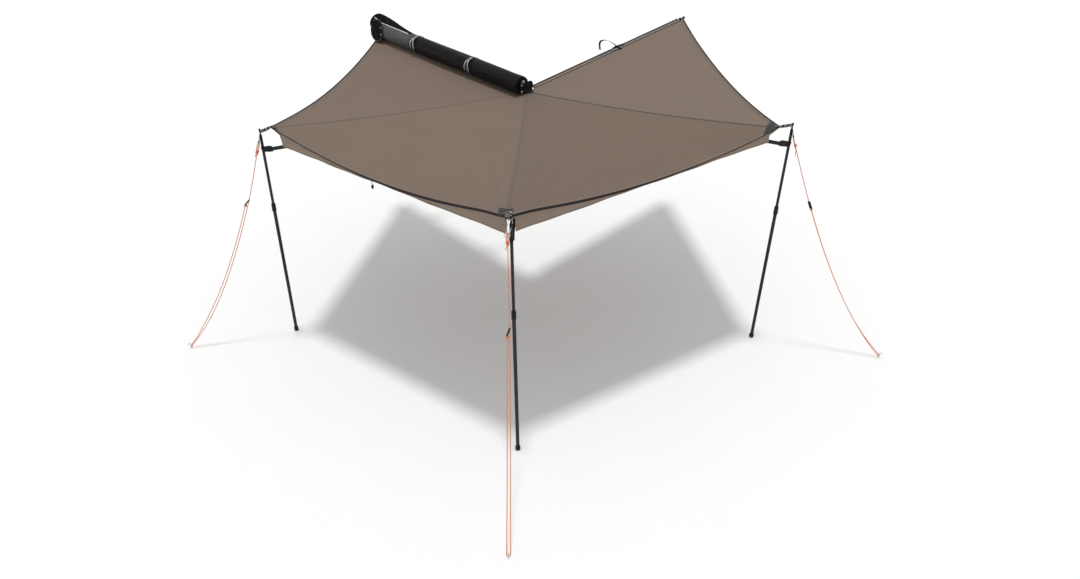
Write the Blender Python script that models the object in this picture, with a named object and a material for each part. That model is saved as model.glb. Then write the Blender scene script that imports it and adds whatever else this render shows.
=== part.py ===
"""Fan-shaped side awning: four hinged arms, three telescopic legs and a four-panel canopy.

Metres. +X points inboard over the crossbars, +Y along the rail, +Z up. The origin is the middle of
the foot of the rear rack bracket, on the face that rests on the crossbar.
"""

import math

import bmesh
import bpy
from mathutils import Matrix, Vector
from mathutils.geometry import tessellate_polygon

# Fits
SEAT_GAP = 0.0003
RUNNING_GAP = 0.0004
SWING_GAP = 0.0006

# Where things stand, seen from the bracket foot
GROUND_DROP = 1.80
HUB_X = -0.12
HUB_Y = -0.64
BRACKET_PITCH = 0.87

# Arms
ARM_ANGLES = (67.35, 134.4, 202.15, 271.1)
ARM_WIDTH = 0.026
ARM_HEIGHT = 0.022
ARM_CHAMFER = 0.004
ARM_WALL = 0.0016
ARM_LOWEST = -0.088
ARM_PITCH = 0.028
LAST_ARM_RISE = 3.5
KNUCKLE_RADIUS = 0.021
KNUCKLE_NECK = 0.060
PIVOT_REACH = 2.055
CANOPY_INSET = 0.055
CANOPY_REACH = PIVOT_REACH - CANOPY_INSET
LAST_ARM_INSET = 0.025
LAST_ARM_REACH = CANOPY_REACH - LAST_ARM_INSET

# Hub and rail
HUB_PIN_RADIUS = 0.006
HUB_PLATE = 0.006
HUB_PLATE_RADIUS = 0.026
RAIL_THICK = 0.018
RAIL_WALL = 0.002
RAIL_HEIGHT = 0.112
RAIL_START = 0.032
RAIL_LENGTH = 1.935
WEB_START = 0.042
WEB_END = 0.095
BRACKET_WIDTH = 0.050
BRACKET_PLATE = 0.005
BRACKET_REACH = 0.045
BOLT_HOLE = 0.0045
BOLT_SPACING = 0.070

# Rolled-up bag, near and far end of its centre line seen from the hub pin
BAG_RADIUS = 0.073
BAG_NEAR = (-0.075, -0.020, 0.118)
BAG_FAR = (-0.0635, 1.970, 0.101)
BAG_MOUTH_WALL = 0.009
BAG_MOUTH_DEPTH = 0.110
BAG_FLAP_RISE = 0.060
BAG_HOOD_START = 0.92
BAG_HOOD_RISE = 0.046
BAG_FLAP_START = 0.71
END_PANEL_RADIUS = 0.097
END_PANEL_THICK = 0.004
END_PANEL_SEWN = 0.0025
END_PANEL_SIDE = 165.0
STRAP_PLACES = (0.30, 0.678)
STRAP_THICK = 0.0018
STRAP_WIDTH = 0.025
CORNER_STRAP_WIDTH = 0.045
BUCKLE_SIDE = -44.0
BUCKLE_THICK = 0.010
BUCKLE_SHAPE = ((-0.030, 0.013), (-0.026, 0.017), (-0.013, 0.0175), (0.0, 0.0175),
                (0.011, 0.0165), (0.022, 0.0155), (0.030, 0.0145))

# Corner joint, seen from the fold pin
LEG_OFFSET = 0.034
CHEEK_INNER = 0.0105
CHEEK_THICK = 0.005
CHEEK_RADIUS = 0.0135
JOINT_REACH = 0.035
BRIDGE_UNDER = 0.014
BRIDGE_TOP = 0.022
FOLD_PIN_RADIUS = 0.004
KNUCKLE_HALF = 0.012
POST_RADIUS = 0.0105
POST_SHOULDER = 0.126
POST_NECK = 0.005
POST_NECK_TOP = 0.160
POST_BALL = 0.0085

# Legs
LEG_LEANS = ((1.34, -1.60), (1.84, -0.07), (-1.29, -0.70))
COLLAR_HEIGHTS = (1.225, 1.191, 1.225)
INNER_RADIUS = 0.0105
INNER_WALL = 0.0012
OUTER_WALL = 0.0021
COLLAR_RADIUS = 0.0165
COLLAR_LENGTH = 0.067
COLLAR_SHARE = 0.028
LEG_OVERLAP = 0.120
FOOT_RADIUS = 0.018
FOOT_HEIGHT = 0.036
FOOT_SOLE = 0.010

# Canopy
CANOPY_THICK = 0.0010
CANOPY_ANGLES = (67.85, 133.5, 202.4, 271.1)
CORNER_HEIGHTS = (0.089, 0.089, 0.089, 0.142)
APEX_HEIGHT = 0.040
ROOT_END = (-0.0635, 1.950, 0.0265)
APEX_START = 0.016
HEM_SAGS = (0.102, 0.120, 0.105, 0.100)
SEAM_SAGS = (0.0, 0.030, 0.030, 0.030, 0.0)
BAND_FEET = (0.004, -0.045, -0.067, -0.008, 0.134)
BAND_CUTS_BEFORE = (0.083, 0.0, 0.083, 0.0)
BAND_CUTS_AFTER = (0.0, 0.083, 0.058, 0.083)
BAND_CUT_STEP = 0.006
BAND_CUT_DEPTH = 0.030
BAND_END_DEPTH = 0.012

# Guy ropes and pegs, pegs seen from the hub pin
ROPE_RADIUS = 0.0030
ROPE_BEND = 0.012
PEG_PLACES = ((-2.702, 1.267), (-2.209, -2.150), (1.266, -2.784))
ROPE_SAGS = (0.20, 0.16, 0.22)
TENSIONER_SHARES = (0.20, 0.25, 0.21)
TENSIONER_LENGTH = 0.058
TENSIONER_HALF = 0.0085
TENSIONER_THICK = 0.009
PEG_RADIUS = 0.003
PEG_SHANK_TOP = 0.040
PEG_DEPTH = 0.150
PEG_LEAN = 12.0
CLIP_LENGTH = 0.085
CLIP_HALF = 0.0132
CLIP_WIRE = 0.0016
CLIP_DROP = 70.0

ROUND = 20


def hub_point(x, y, z):
    """A point given from the hub pin, in the part's own frame."""
    return Vector((HUB_X + x, HUB_Y + y, z))


def turned(degrees):
    """The direction a given angle round from +Y, counter-clockwise seen from above."""
    a = math.radians(degrees)
    return Vector((-math.sin(a), math.cos(a), 0.0))


def smooth(x):
    """Eases from 0 to 1."""
    x = min(1.0, max(0.0, x))
    return x * x * (3.0 - 2.0 * x)


class Shell:
    """A closed surface that is put together loop by loop."""

    def __init__(self, place=None):
        self.place = place or Matrix()
        self.points = []
        self.faces = []

    def loop(self, points):
        """Adds a ring of points and gives their numbers."""
        first = len(self.points)
        self.points += [self.place @ Vector(p) for p in points]
        return list(range(first, len(self.points)))

    def bridge(self, a, b):
        """Joins two rings with as many points each by a band of quads."""
        for i in range(len(a)):
            j = (i + 1) % len(a)
            self.faces.append((a[i], a[j], b[j], b[i]))

    def sheet(self, rows):
        """Fills an open grid of rows with quads."""
        for low, high in zip(rows, rows[1:]):
            for i in range(len(low) - 1):
                self.faces.append((low[i], low[i + 1], high[i + 1], high[i]))

    def seam(self, a, b):
        """Joins two open rows by a band of quads."""
        for i in range(len(a) - 1):
            self.faces.append((a[i], a[i + 1], b[i + 1], b[i]))

    def cap(self, *rings):
        """Fills a flat outline, with any further rings left as holes."""
        numbers = [n for ring in rings for n in ring]
        outlines = [[self.points[n] for n in ring] for ring in rings]
        for face in tessellate_polygon(outlines):
            self.faces.append(tuple(numbers[i] for i in face))

    def make(self, name, material, origin, smooth_angle=35.0):
        """Turns the shell into an object whose origin is the point given."""
        mesh = bpy.data.meshes.new(name)
        mesh.from_pydata([p - origin for p in self.points], [], self.faces)
        bm = bmesh.new()
        bm.from_mesh(mesh)
        bmesh.ops.recalc_face_normals(bm, faces=bm.faces)
        if bm.calc_volume(signed=True) < 0:
            bmesh.ops.reverse_faces(bm, faces=bm.faces)
        bm.to_mesh(mesh)
        bm.free()
        mesh.materials.append(material)
        mesh.shade_smooth()
        mesh.set_sharp_from_angle(angle=math.radians(smooth_angle))
        obj = bpy.data.objects.new(name, mesh)
        obj.location = origin
        bpy.context.collection.objects.link(obj)
        return obj


def finish(name, colour, roughness, metallic=0.0):
    """A plain finish for one piece."""
    mat = bpy.data.materials.new(name)
    mat.use_nodes = True
    shader = mat.node_tree.nodes["Principled BSDF"]
    shader.inputs["Base Color"].default_value = (*colour, 1.0)
    shader.inputs["Roughness"].default_value = roughness
    shader.inputs["Metallic"].default_value = metallic
    return mat


def ring(radius, height, count=ROUND, x=0.0, y=0.0):
    """A level circle of points."""
    turns = [2 * math.pi * i / count for i in range(count)]
    return [(x + radius * math.cos(t), y + radius * math.sin(t), height) for t in turns]


def lathe(name, material, place, origin, profile, closed=False, count=ROUND):
    """A turned piece: the profile is (radius, height) pairs, or a closed outline of them."""
    shell = Shell(place)
    loops = [shell.loop(ring(r, h, count)) for r, h in profile]
    for low, high in zip(loops, loops[1:]):
        shell.bridge(low, high)
    if closed:
        shell.bridge(loops[-1], loops[0])
    else:
        shell.cap(loops[0])
        shell.cap(loops[-1])
    return shell.make(name, material, origin)


def plate(name, material, place, origin, outline, holes, low, high, lift=None):
    """A flat piece with holes, from one height to another, with its points moved by lift."""
    shell = Shell(place)
    move = lift or (lambda x, y, z: (x, y, z))
    ends = []
    for z in (low, high):
        loops = [shell.loop([move(x, y, z) for x, y in o]) for o in (outline, *holes)]
        shell.cap(*loops)
        ends.append(loops)
    for a, b in zip(*ends):
        shell.bridge(a, b)
    return shell.make(name, material, origin)


def circle(radius, count=ROUND, x=0.0, y=0.0):
    """A flat circle of (x, y) points."""
    return [p[:2] for p in ring(radius, 0.0, count, x, y)]


def arc(x, y, radius, start, end, count):
    """Points of an arc between two angles in degrees, both ends included."""
    steps = [math.radians(start + (end - start) * i / (count - 1)) for i in range(count)]
    return [(x + radius * math.cos(t), y + radius * math.sin(t)) for t in steps]


def cut_rectangle(width, height, chamfer):
    """The eight corners of a chamfered rectangle round the origin."""
    w, h, c = width / 2, height / 2, chamfer
    return [(w, -h + c), (w, h - c), (w - c, h), (-w + c, h),
            (-w, h - c), (-w, -h + c), (-w + c, -h), (w - c, -h)]


def box(name, material, origin, low, high):
    """A plain block between two corners."""
    outline = [(low[0], low[1]), (high[0], low[1]), (high[0], high[1]), (low[0], high[1])]
    return plate(name, material, None, origin, outline, (), low[2], high[2])


def tube_curve(name, material, origin, points, radius, resolution, closed=False):
    """A round wire or cord through the points given."""
    curve = bpy.data.curves.new(name, "CURVE")
    curve.dimensions = "3D"
    curve.bevel_depth = radius
    curve.bevel_resolution = resolution
    curve.use_fill_caps = not closed
    spline = curve.splines.new("POLY")
    spline.points.add(len(points) - 1)
    for slot, p in zip(spline.points, points):
        slot.co = (*(p - origin), 1.0)
    spline.use_cyclic_u = closed
    curve.materials.append(material)
    obj = bpy.data.objects.new(name, curve)
    obj.location = origin
    bpy.context.collection.objects.link(obj)
    return obj


def arm_level(k):
    """Height of the middle of an arm at the hub."""
    return ARM_LOWEST + ARM_PITCH * k


def arm_place(k):
    """The frame of an arm: its middle at the hub pin, +Y out along the arm."""
    spot = Matrix.Translation(hub_point(0.0, 0.0, arm_level(k)))
    return spot @ Matrix.Rotation(math.radians(ARM_ANGLES[k]), 4, "Z")


def corner_place(k):
    """The frame of a corner joint: the fold pin's middle, +Y out and +Z up along the leg."""
    lean, side = LEG_LEANS[k]
    spot = arm_place(k) @ Matrix.Translation((0.0, PIVOT_REACH, 0.0))
    tilt = Matrix.Rotation(math.radians(lean), 4, "X") @ Matrix.Rotation(math.radians(side), 4, "Y")
    return spot @ tilt


def build_arm(k, material):
    """An arm tube, open at its outer end, with the flat knuckle that turns on the hub pin."""
    place = arm_place(k)
    hub = hub_point(0.0, 0.0, arm_level(k))
    last = k == len(ARM_ANGLES) - 1
    end = LAST_ARM_REACH if last else PIVOT_REACH - JOINT_REACH - 2 * SEAT_GAP
    rise = math.tan(math.radians(LAST_ARM_RISE)) if last else 0.0
    shell = Shell(place)
    half = ARM_WIDTH / 2 + 0.0008
    span = math.degrees(math.asin(half / KNUCKLE_RADIUS))
    outline = arc(0, 0, KNUCKLE_RADIUS, 90 + span, 450 - span, 15)
    outline += [(half, KNUCKLE_NECK), (-half, KNUCKLE_NECK)]
    bore = circle(HUB_PIN_RADIUS + RUNNING_GAP, 16)
    top = ARM_HEIGHT / 2 + 0.0006
    ends = []
    for z in (-top, top):
        loops = [shell.loop([(x, y, z) for x, y in o]) for o in (outline, bore)]
        shell.cap(*loops)
        ends.append(loops)
    shell.bridge(ends[0][1], ends[1][1])
    low, high = ends[0][0], ends[1][0]
    count = len(outline)
    for i in range(count):
        if i != count - 2:
            j = (i + 1) % count
            shell.faces.append((low[i], low[j], high[j], high[i]))
    face = [low[-2], low[-1], high[-1], high[-2]]
    outer = cut_rectangle(ARM_WIDTH, ARM_HEIGHT, ARM_CHAMFER)
    inner = cut_rectangle(ARM_WIDTH - 2 * ARM_WALL, ARM_HEIGHT - 2 * ARM_WALL, ARM_CHAMFER - ARM_WALL / 2)
    near = shell.loop([(x, KNUCKLE_NECK, z) for x, z in outer])
    shell.cap(face, near)
    climb = rise * (end - KNUCKLE_NECK)
    far = shell.loop([(x, end, z + climb) for x, z in outer])
    shell.bridge(near, far)
    mouth = shell.loop([(x, end, z + climb) for x, z in inner])
    shell.bridge(far, mouth)
    deep = KNUCKLE_NECK + 0.030
    floor = shell.loop([(x, deep, z + rise * 0.030) for x, z in inner])
    shell.bridge(mouth, floor)
    shell.cap(floor)
    shell.make(f"arm_{k + 1}", material, hub)


def build_arm_cap(material):
    """The closed cap on the outer end of the last arm, which carries the canopy corner."""
    k = len(ARM_ANGLES) - 1
    hub = hub_point(0.0, 0.0, arm_level(k))
    climb = math.tan(math.radians(LAST_ARM_RISE)) * (LAST_ARM_REACH - KNUCKLE_NECK)
    shell = Shell(arm_place(k))
    start = LAST_ARM_REACH + SEAT_GAP
    sizes = ((0.0, 0.002), (0.020, 0.002), (0.026, -0.004))
    rings = []
    for along, grow in sizes:
        shape = cut_rectangle(ARM_WIDTH + grow, ARM_HEIGHT + grow, ARM_CHAMFER)
        rings.append(shell.loop([(x, start + along, z + climb) for x, z in shape]))
    for a, b in zip(rings, rings[1:]):
        shell.bridge(a, b)
    shell.cap(rings[0])
    shell.cap(rings[-1])
    shell.make("arm_cap_4", material, hub)


def build_corner_joint(k, material):
    """The moulding on the end of an arm: a block, two cheeks round the fold pin and a bridge."""
    place = corner_place(k)
    hub = hub_point(0.0, 0.0, arm_level(k))
    half = CHEEK_INNER + CHEEK_THICK
    back = -JOINT_REACH
    wall = -KNUCKLE_HALF - 0.004
    front = LEG_OFFSET + POST_RADIUS + 0.004
    sleeve = ARM_HEIGHT / 2 + 0.003
    side = [(back, -sleeve), (wall, -CHEEK_RADIUS)]
    side += arc(0, 0, CHEEK_RADIUS, 270, 360, 6)
    side += [(CHEEK_RADIUS, BRIDGE_UNDER), (front - 0.004, BRIDGE_UNDER), (front, BRIDGE_UNDER + 0.004),
             (front, BRIDGE_TOP - 0.004), (front - 0.004, BRIDGE_TOP), (wall, BRIDGE_TOP), (back, sleeve)]
    bore = circle(FOLD_PIN_RADIUS + RUNNING_GAP, 12)
    slot = [(wall + 0.003, -CHEEK_RADIUS), *side[2:8], (CHEEK_RADIUS, BRIDGE_UNDER),
            (wall + 0.003, BRIDGE_UNDER)]
    shell = Shell(place)

    def layer(shape, x):
        return shell.loop([(x, y, z) for y, z in shape])

    mid = [(wall + 0.003, -CHEEK_RADIUS)]
    outer = side[:2] + mid + side[2:]
    walls = []
    for s in (-1.0, 1.0):
        skin = layer(outer, s * half)
        hole = layer(bore, s * half)
        shell.cap(skin, hole)
        inner = layer(slot, s * CHEEK_INNER)
        inner_hole = layer(bore, s * CHEEK_INNER)
        shell.cap(inner, inner_hole)
        shell.bridge(hole, inner_hole)
        walls.append((skin, inner))
    (left, left_in), (right, right_in) = walls
    n = len(outer)
    low_first = 2
    low_last = 2 + 1 + 6
    for i in range(n):
        j = (i + 1) % n
        if low_first <= i < low_last:
            continue
        shell.faces.append((left[i], left[j], right[j], right[i]))
    run = list(range(low_first, low_last + 1))
    for a, b in zip(run, run[1:]):
        ia, ib = a - low_first, b - low_first
        shell.faces.append((left[a], left[b], left_in[ib], left_in[ia]))
        shell.faces.append((right[a], right[b], right_in[ib], right_in[ia]))
    m = len(slot)
    shell.faces.append((left_in[m - 1], left_in[0], right_in[0], right_in[m - 1]))
    shell.faces.append((left_in[m - 2], left_in[m - 1], right_in[m - 1], right_in[m - 2]))
    shell.faces.append((left[2], left_in[0], right_in[0], right[2]))
    shell.faces.append((left[low_last], left_in[m - 2], right_in[m - 2], right[low_last]))
    shell.make(f"corner_joint_{k + 1}", material, hub)


def build_corner(k, mats):
    """The fixed post over a corner joint and the fold pin through it."""
    place = corner_place(k)
    hub = hub_point(0.0, 0.0, arm_level(k))
    over = place @ Matrix.Translation((0.0, LEG_OFFSET, 0.0))
    ball = POST_NECK_TOP + POST_BALL * 0.8
    profile = [(POST_RADIUS - 0.0005, BRIDGE_TOP + SEAT_GAP), (POST_RADIUS, BRIDGE_TOP + 0.002),
               (POST_RADIUS, POST_SHOULDER - 0.006), (POST_RADIUS - 0.002, POST_SHOULDER),
               (POST_NECK, POST_SHOULDER + 0.002), (POST_NECK, POST_NECK_TOP)]
    for i in range(1, 6):
        t = math.radians(-50 + 28 * i)
        profile.append((POST_BALL * math.cos(t), ball + POST_BALL * math.sin(t)))
    lathe(f"post_{k + 1}", mats["coated"], over, hub, profile)
    across = place @ Matrix.Rotation(math.radians(90), 4, "Y")
    length = CHEEK_INNER + CHEEK_THICK
    head = FOLD_PIN_RADIUS + 0.003
    profile = [(FOLD_PIN_RADIUS - 0.0005, -length - 0.0015), (FOLD_PIN_RADIUS, -length - 0.001),
               (FOLD_PIN_RADIUS, length + SEAT_GAP), (head, length + SEAT_GAP),
               (head, length + 0.002), (head - 0.0015, length + 0.003)]
    lathe(f"fold_pin_{k + 1}", mats["bright"], across, hub, profile, count=14)


def leg_length(k):
    """Distance along the leg from the fold pin's level down to the ground."""
    place = corner_place(k)
    top = place @ Vector((0.0, LEG_OFFSET, 0.0))
    down = place.to_3x3() @ Vector((0.0, 0.0, -1.0))
    return (top.z + GROUND_DROP) / -down.z


def build_leg(k, mats):
    """A folding leg: knuckle, inner tube, twist collar, outer tube and rubber foot."""
    place = corner_place(k)
    pin = place @ Vector((0.0, 0.0, 0.0))
    axis = place @ Matrix.Translation((0.0, LEG_OFFSET, 0.0))
    length = leg_length(k)
    on_axis = axis @ Vector((0.0, 0.0, 0.0))
    front = LEG_OFFSET + INNER_RADIUS
    side = [(LEG_OFFSET - INNER_RADIUS, -KNUCKLE_HALF)]
    side += [(front - 0.003, -KNUCKLE_HALF), (front, -KNUCKLE_HALF + 0.003)]
    side += [(front, KNUCKLE_HALF - 0.003), (front - 0.003, KNUCKLE_HALF)]
    side += arc(0, 0, KNUCKLE_HALF, 90, 270, 9)
    bore = circle(FOLD_PIN_RADIUS + RUNNING_GAP, 12)
    knuckle = place @ Matrix(((0, 0, 1, 0), (1, 0, 0, 0), (0, 1, 0, 0), (0, 0, 0, 1)))
    half = CHEEK_INNER - RUNNING_GAP
    plate(f"leg_knuckle_{k + 1}", mats["moulded"], knuckle, pin, side, (bore,), -half, half)

    collar_mid = -(length - COLLAR_HEIGHTS[k])
    step = collar_mid + COLLAR_LENGTH / 2 - COLLAR_SHARE
    top = -KNUCKLE_HALF - SEAT_GAP
    low = step - LEG_OVERLAP
    bore_radius = INNER_RADIUS - INNER_WALL
    lathe(f"leg_inner_{k + 1}", mats["alloy"], axis, pin,
          [(bore_radius, low), (INNER_RADIUS - 0.0004, low), (INNER_RADIUS, low + 0.0006),
           (INNER_RADIUS, top - 0.0006), (INNER_RADIUS - 0.0004, top), (bore_radius, top)],
          closed=True)

    slide_bore = INNER_RADIUS + RUNNING_GAP
    outer_radius = slide_bore + OUTER_WALL
    sole = -length
    outer_low = sole + FOOT_SOLE + SEAT_GAP
    outer_high = step - SEAT_GAP
    lathe(f"leg_outer_{k + 1}", mats["alloy"], axis, on_axis,
          [(slide_bore, outer_low), (outer_radius, outer_low),
           (outer_radius, outer_high), (slide_bore, outer_high)], closed=True)

    seat_bore = outer_radius + SEAT_GAP
    foot = [(FOOT_RADIUS - 0.005, sole), (FOOT_RADIUS - 0.0015, sole + 0.0015),
            (FOOT_RADIUS, sole + 0.005), (FOOT_RADIUS - 0.0005, sole + FOOT_HEIGHT - 0.004),
            (FOOT_RADIUS - 0.002, sole + FOOT_HEIGHT), (seat_bore, sole + FOOT_HEIGHT),
            (seat_bore, sole + FOOT_SOLE)]
    lathe(f"leg_foot_{k + 1}", mats["rubber"], axis, on_axis, foot)

    base = collar_mid - COLLAR_LENGTH / 2
    peak = collar_mid + COLLAR_LENGTH / 2
    run_bore = INNER_RADIUS + RUNNING_GAP
    collar = [(seat_bore, base), (COLLAR_RADIUS - 0.001, base), (COLLAR_RADIUS, base + 0.003),
              (COLLAR_RADIUS, collar_mid), (COLLAR_RADIUS - 0.0012, collar_mid + 0.002),
              (COLLAR_RADIUS - 0.0012, collar_mid + 0.006), (COLLAR_RADIUS, collar_mid + 0.008),
              (COLLAR_RADIUS - 0.0005, peak - 0.010), (COLLAR_RADIUS - 0.0035, peak),
              (run_bore, peak), (run_bore, step), (seat_bore, step)]
    lathe(f"leg_collar_{k + 1}", mats["moulded"], axis, on_axis, collar, closed=True)


def rail_face():
    """Distance of the rail's outer face inboard of the hub pin."""
    return BAG_FAR[0] + BAG_RADIUS + SEAT_GAP


def hub_top():
    """Height of the underside of the upper hub plate."""
    return arm_level(len(ARM_ANGLES) - 1) + ARM_HEIGHT / 2 + 0.0006 + SWING_GAP


def build_hub(mats):
    """The two hub plates, the lower one with the web that carries the rail, and the pin."""
    centre = hub_point(0.0, 0.0, 0.0)
    face = rail_face() + 0.002
    back = face + RAIL_THICK - 0.002
    outline = arc(0, 0, HUB_PLATE_RADIUS, 90, 330, 13)
    outline += [(back + 0.004, WEB_START - 0.008), (back + 0.004, WEB_END + 0.006),
                (face - 0.004, WEB_END + 0.006)]
    web = [(face, WEB_START), (back, WEB_START), (back, WEB_END), (face, WEB_END)]
    bore = circle(HUB_PIN_RADIUS + SEAT_GAP, 16)
    under = arm_level(0) - ARM_HEIGHT / 2 - 0.0006 - SWING_GAP
    place = Matrix.Translation(centre)

    shell = Shell(place)
    low = [shell.loop([(x, y, under - HUB_PLATE) for x, y in o]) for o in (outline, bore)]
    high = [shell.loop([(x, y, under) for x, y in o]) for o in (outline, bore)]
    foot = shell.loop([(x, y, under) for x, y in web])
    head = shell.loop([(x, y, hub_top() - SEAT_GAP) for x, y in web])
    shell.cap(*low)
    shell.cap(*high, foot)
    for a, b in zip(low, high):
        shell.bridge(a, b)
    shell.bridge(foot, head)
    shell.cap(head)
    shell.make("hub_plate_lower", mats["coated"], centre)

    plate("hub_plate_upper", mats["coated"], place, centre, outline, (bore,),
          hub_top(), hub_top() + HUB_PLATE)

    base = under - HUB_PLATE
    crown = hub_top() + HUB_PLATE + SEAT_GAP
    head_radius = HUB_PIN_RADIUS + 0.005
    lathe("hub_pin", mats["bright"], place, centre,
          [(HUB_PIN_RADIUS - 0.001, base - 0.007), (HUB_PIN_RADIUS, base - 0.006),
           (HUB_PIN_RADIUS, crown), (head_radius, crown), (head_radius, crown + 0.005),
           (head_radius - 0.002, crown + 0.007)], count=16)


def build_rail(mats):
    """The hollow back rail and the two rack brackets bolted to its inboard face."""
    base = hub_top() + HUB_PLATE + SEAT_GAP
    low_x, high_x = rail_face(), rail_face() + RAIL_THICK
    outer = [(low_x, base), (high_x, base), (high_x, base + RAIL_HEIGHT), (low_x, base + RAIL_HEIGHT)]
    w = RAIL_WALL
    inner = [(low_x + w, base + w), (high_x - w, base + w),
             (high_x - w, base + RAIL_HEIGHT - w), (low_x + w, base + RAIL_HEIGHT - w)]
    shell = Shell(Matrix.Translation(hub_point(0.0, 0.0, 0.0)))
    ends = []
    for y in (RAIL_START, RAIL_START + RAIL_LENGTH):
        loops = [shell.loop([(x, y, z) for x, z in o]) for o in (outer, inner)]
        shell.bridge(*loops)
        ends.append(loops)
    for a, b in zip(*ends):
        shell.bridge(a, b)
    shell.make("back_rail", mats["alloy"], hub_point(high_x, RAIL_START, base))

    back = HUB_X + high_x + SEAT_GAP
    toe = BRACKET_REACH
    half = BRACKET_WIDTH / 2
    for name, y in (("bracket_rear", 0.0), ("bracket_front", BRACKET_PITCH)):
        shell = Shell(Matrix.Translation((0.0, y, 0.0)))
        heel = back + BRACKET_PLATE
        foot = [(heel, -half), (toe, -half), (toe, half), (heel, half)]
        rise = base + RAIL_HEIGHT * 0.85
        holes = [circle(BOLT_HOLE, 12, s * BOLT_SPACING / 2 - 0.002) for s in (-1.0, 1.0)]
        under = [shell.loop([(x, y2, 0.0) for x, y2 in h]) for h in holes]
        over = [shell.loop([(x, y2, BRACKET_PLATE) for x, y2 in h]) for h in holes]
        sole = shell.loop([(back, -half, 0.0), (toe, -half, 0.0), (toe, half, 0.0), (back, half, 0.0)])
        shell.cap(sole, *under)
        tread = shell.loop([(x, y2, BRACKET_PLATE) for x, y2 in foot])
        shell.cap(tread, *over)
        for a, b in zip(under, over):
            shell.bridge(a, b)
        peak = shell.loop([(back, -half, rise), (heel, -half, rise), (heel, half, rise), (back, half, rise)])
        shell.cap(peak)
        shell.faces += [(sole[1], sole[2], tread[2], tread[1]),
                        (tread[0], tread[3], peak[2], peak[1]),
                        (sole[0], sole[3], peak[3], peak[0]),
                        (sole[0], sole[1], tread[1], tread[0], peak[1], peak[0]),
                        (sole[3], sole[2], tread[2], tread[3], peak[2], peak[3])]
        shell.make(name, mats["coated"], Vector((0.0, y, 0.0)))


def bag_middle(share):
    """The bag's centre line, from its near end at 0 to its far end at 1."""
    near, far = Vector(BAG_NEAR), Vector(BAG_FAR)
    spot = near.lerp(far, share)
    return hub_point(*spot)


def bag_section(share, radius, flap, count=28):
    """One cross-section of the rolled bag, with the loose flap raised on its inboard top."""
    middle = bag_middle(share)
    points = []
    for i in range(count):
        t = 2 * math.pi * i / count
        off = (t - math.radians(66) + math.pi) % (2 * math.pi) - math.pi
        bump = flap * math.exp(-((off / 0.42) ** 2))
        if flap > 0.0:
            off = (t - math.radians(112) + math.pi) % (2 * math.pi) - math.pi
            hood = BAG_HOOD_RISE * smooth((share - BAG_HOOD_START) / (1.0 - BAG_HOOD_START))
            bump = max(bump, hood * math.exp(-((off / 0.42) ** 2)))
        r = radius + bump
        points.append(middle + Vector((r * math.cos(t), 0.0, r * math.sin(t))))
    return points


def build_bag(mats):
    """The rolled-up bag with an open mouth at its far end, and the two straps round it."""
    shell = Shell()
    shares = [0.0, 0.006, 0.15, 0.30, 0.45, 0.60, 0.70, 0.775, 0.85, 0.925, 0.965, 1.0]
    loops = []
    for share in shares:
        rounding = 0.004 if share == 0.0 else 0.0
        flap = BAG_FLAP_RISE * smooth((share - BAG_FLAP_START) / (1.0 - BAG_FLAP_START))
        loops.append(shell.loop(bag_section(share, BAG_RADIUS - rounding, flap)))
    for a, b in zip(loops, loops[1:]):
        shell.bridge(a, b)
    shell.cap(loops[0])
    length = BAG_FAR[1] - BAG_NEAR[1]
    mouth = shell.loop(bag_section(1.0, BAG_RADIUS - BAG_MOUTH_WALL, 0.0))
    floor = shell.loop(bag_section(1.0 - BAG_MOUTH_DEPTH / length, BAG_RADIUS - BAG_MOUTH_WALL, 0.0))
    shell.bridge(loops[-1], mouth)
    shell.bridge(mouth, floor)
    shell.cap(floor)
    roll = shell.make("bag_roll", mats["sheeting"], bag_middle(0.0), 45.0)

    middle = bag_middle(1.0) - Vector((0.0, END_PANEL_RADIUS + 0.003, 0.0))
    place = Matrix.Translation(middle) @ Matrix.Rotation(math.radians(90 - END_PANEL_SIDE), 4, "Y")
    inner = BAG_RADIUS - END_PANEL_SEWN
    rim = END_PANEL_RADIUS - 0.0008
    panel = lathe("bag_end_panel", mats["sheeting"], place, middle,
                  [(rim, inner), (END_PANEL_RADIUS, inner + 0.0008),
                   (END_PANEL_RADIUS, inner + END_PANEL_THICK - 0.0008), (rim, inner + END_PANEL_THICK)],
                  count=36)
    panel.hide_render = True
    sewn = roll.modifiers.new("sewn", "BOOLEAN")
    sewn.operation = "UNION"
    sewn.solver = "EXACT"
    sewn.object = panel

    for number, share in enumerate(STRAP_PLACES, 1):
        half = STRAP_WIDTH / 2 / length
        inner = BAG_RADIUS + SEAT_GAP
        outer = inner + STRAP_THICK
        band = Shell()
        near_in, near_out, far_in, far_out = [
            band.loop(bag_section(share + s * half, r, 0.0)) for s in (-1.0, 1.0) for r in (inner, outer)]
        band.bridge(near_in, near_out)
        band.bridge(near_out, far_out)
        band.bridge(far_out, far_in)
        band.bridge(far_in, near_in)
        band.make(f"bag_strap_{number}", mats["webbing"], bag_middle(share), 45.0)
        middle = bag_middle(share)
        base = outer + 2 * SEAT_GAP
        buckle = Shell(Matrix.Translation(middle) @ Matrix.Rotation(math.radians(-BUCKLE_SIDE), 4, "Y"))
        loops = []
        for around, half in BUCKLE_SHAPE:
            a = around / base
            low = Vector((-math.cos(a), 0.0, math.sin(a)))
            inside, outside = low * base, low * (base + BUCKLE_THICK)
            loops.append(buckle.loop([inside - Vector((0, half, 0)), inside + Vector((0, half, 0)),
                                      outside + Vector((0, half - 0.002, 0)),
                                      outside - Vector((0, half - 0.002, 0))]))
        for low, high in zip(loops, loops[1:]):
            buckle.bridge(low, high)
        buckle.cap(loops[0])
        buckle.cap(loops[-1])
        buckle.make(f"bag_buckle_{number}", mats["moulded"], middle)


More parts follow.
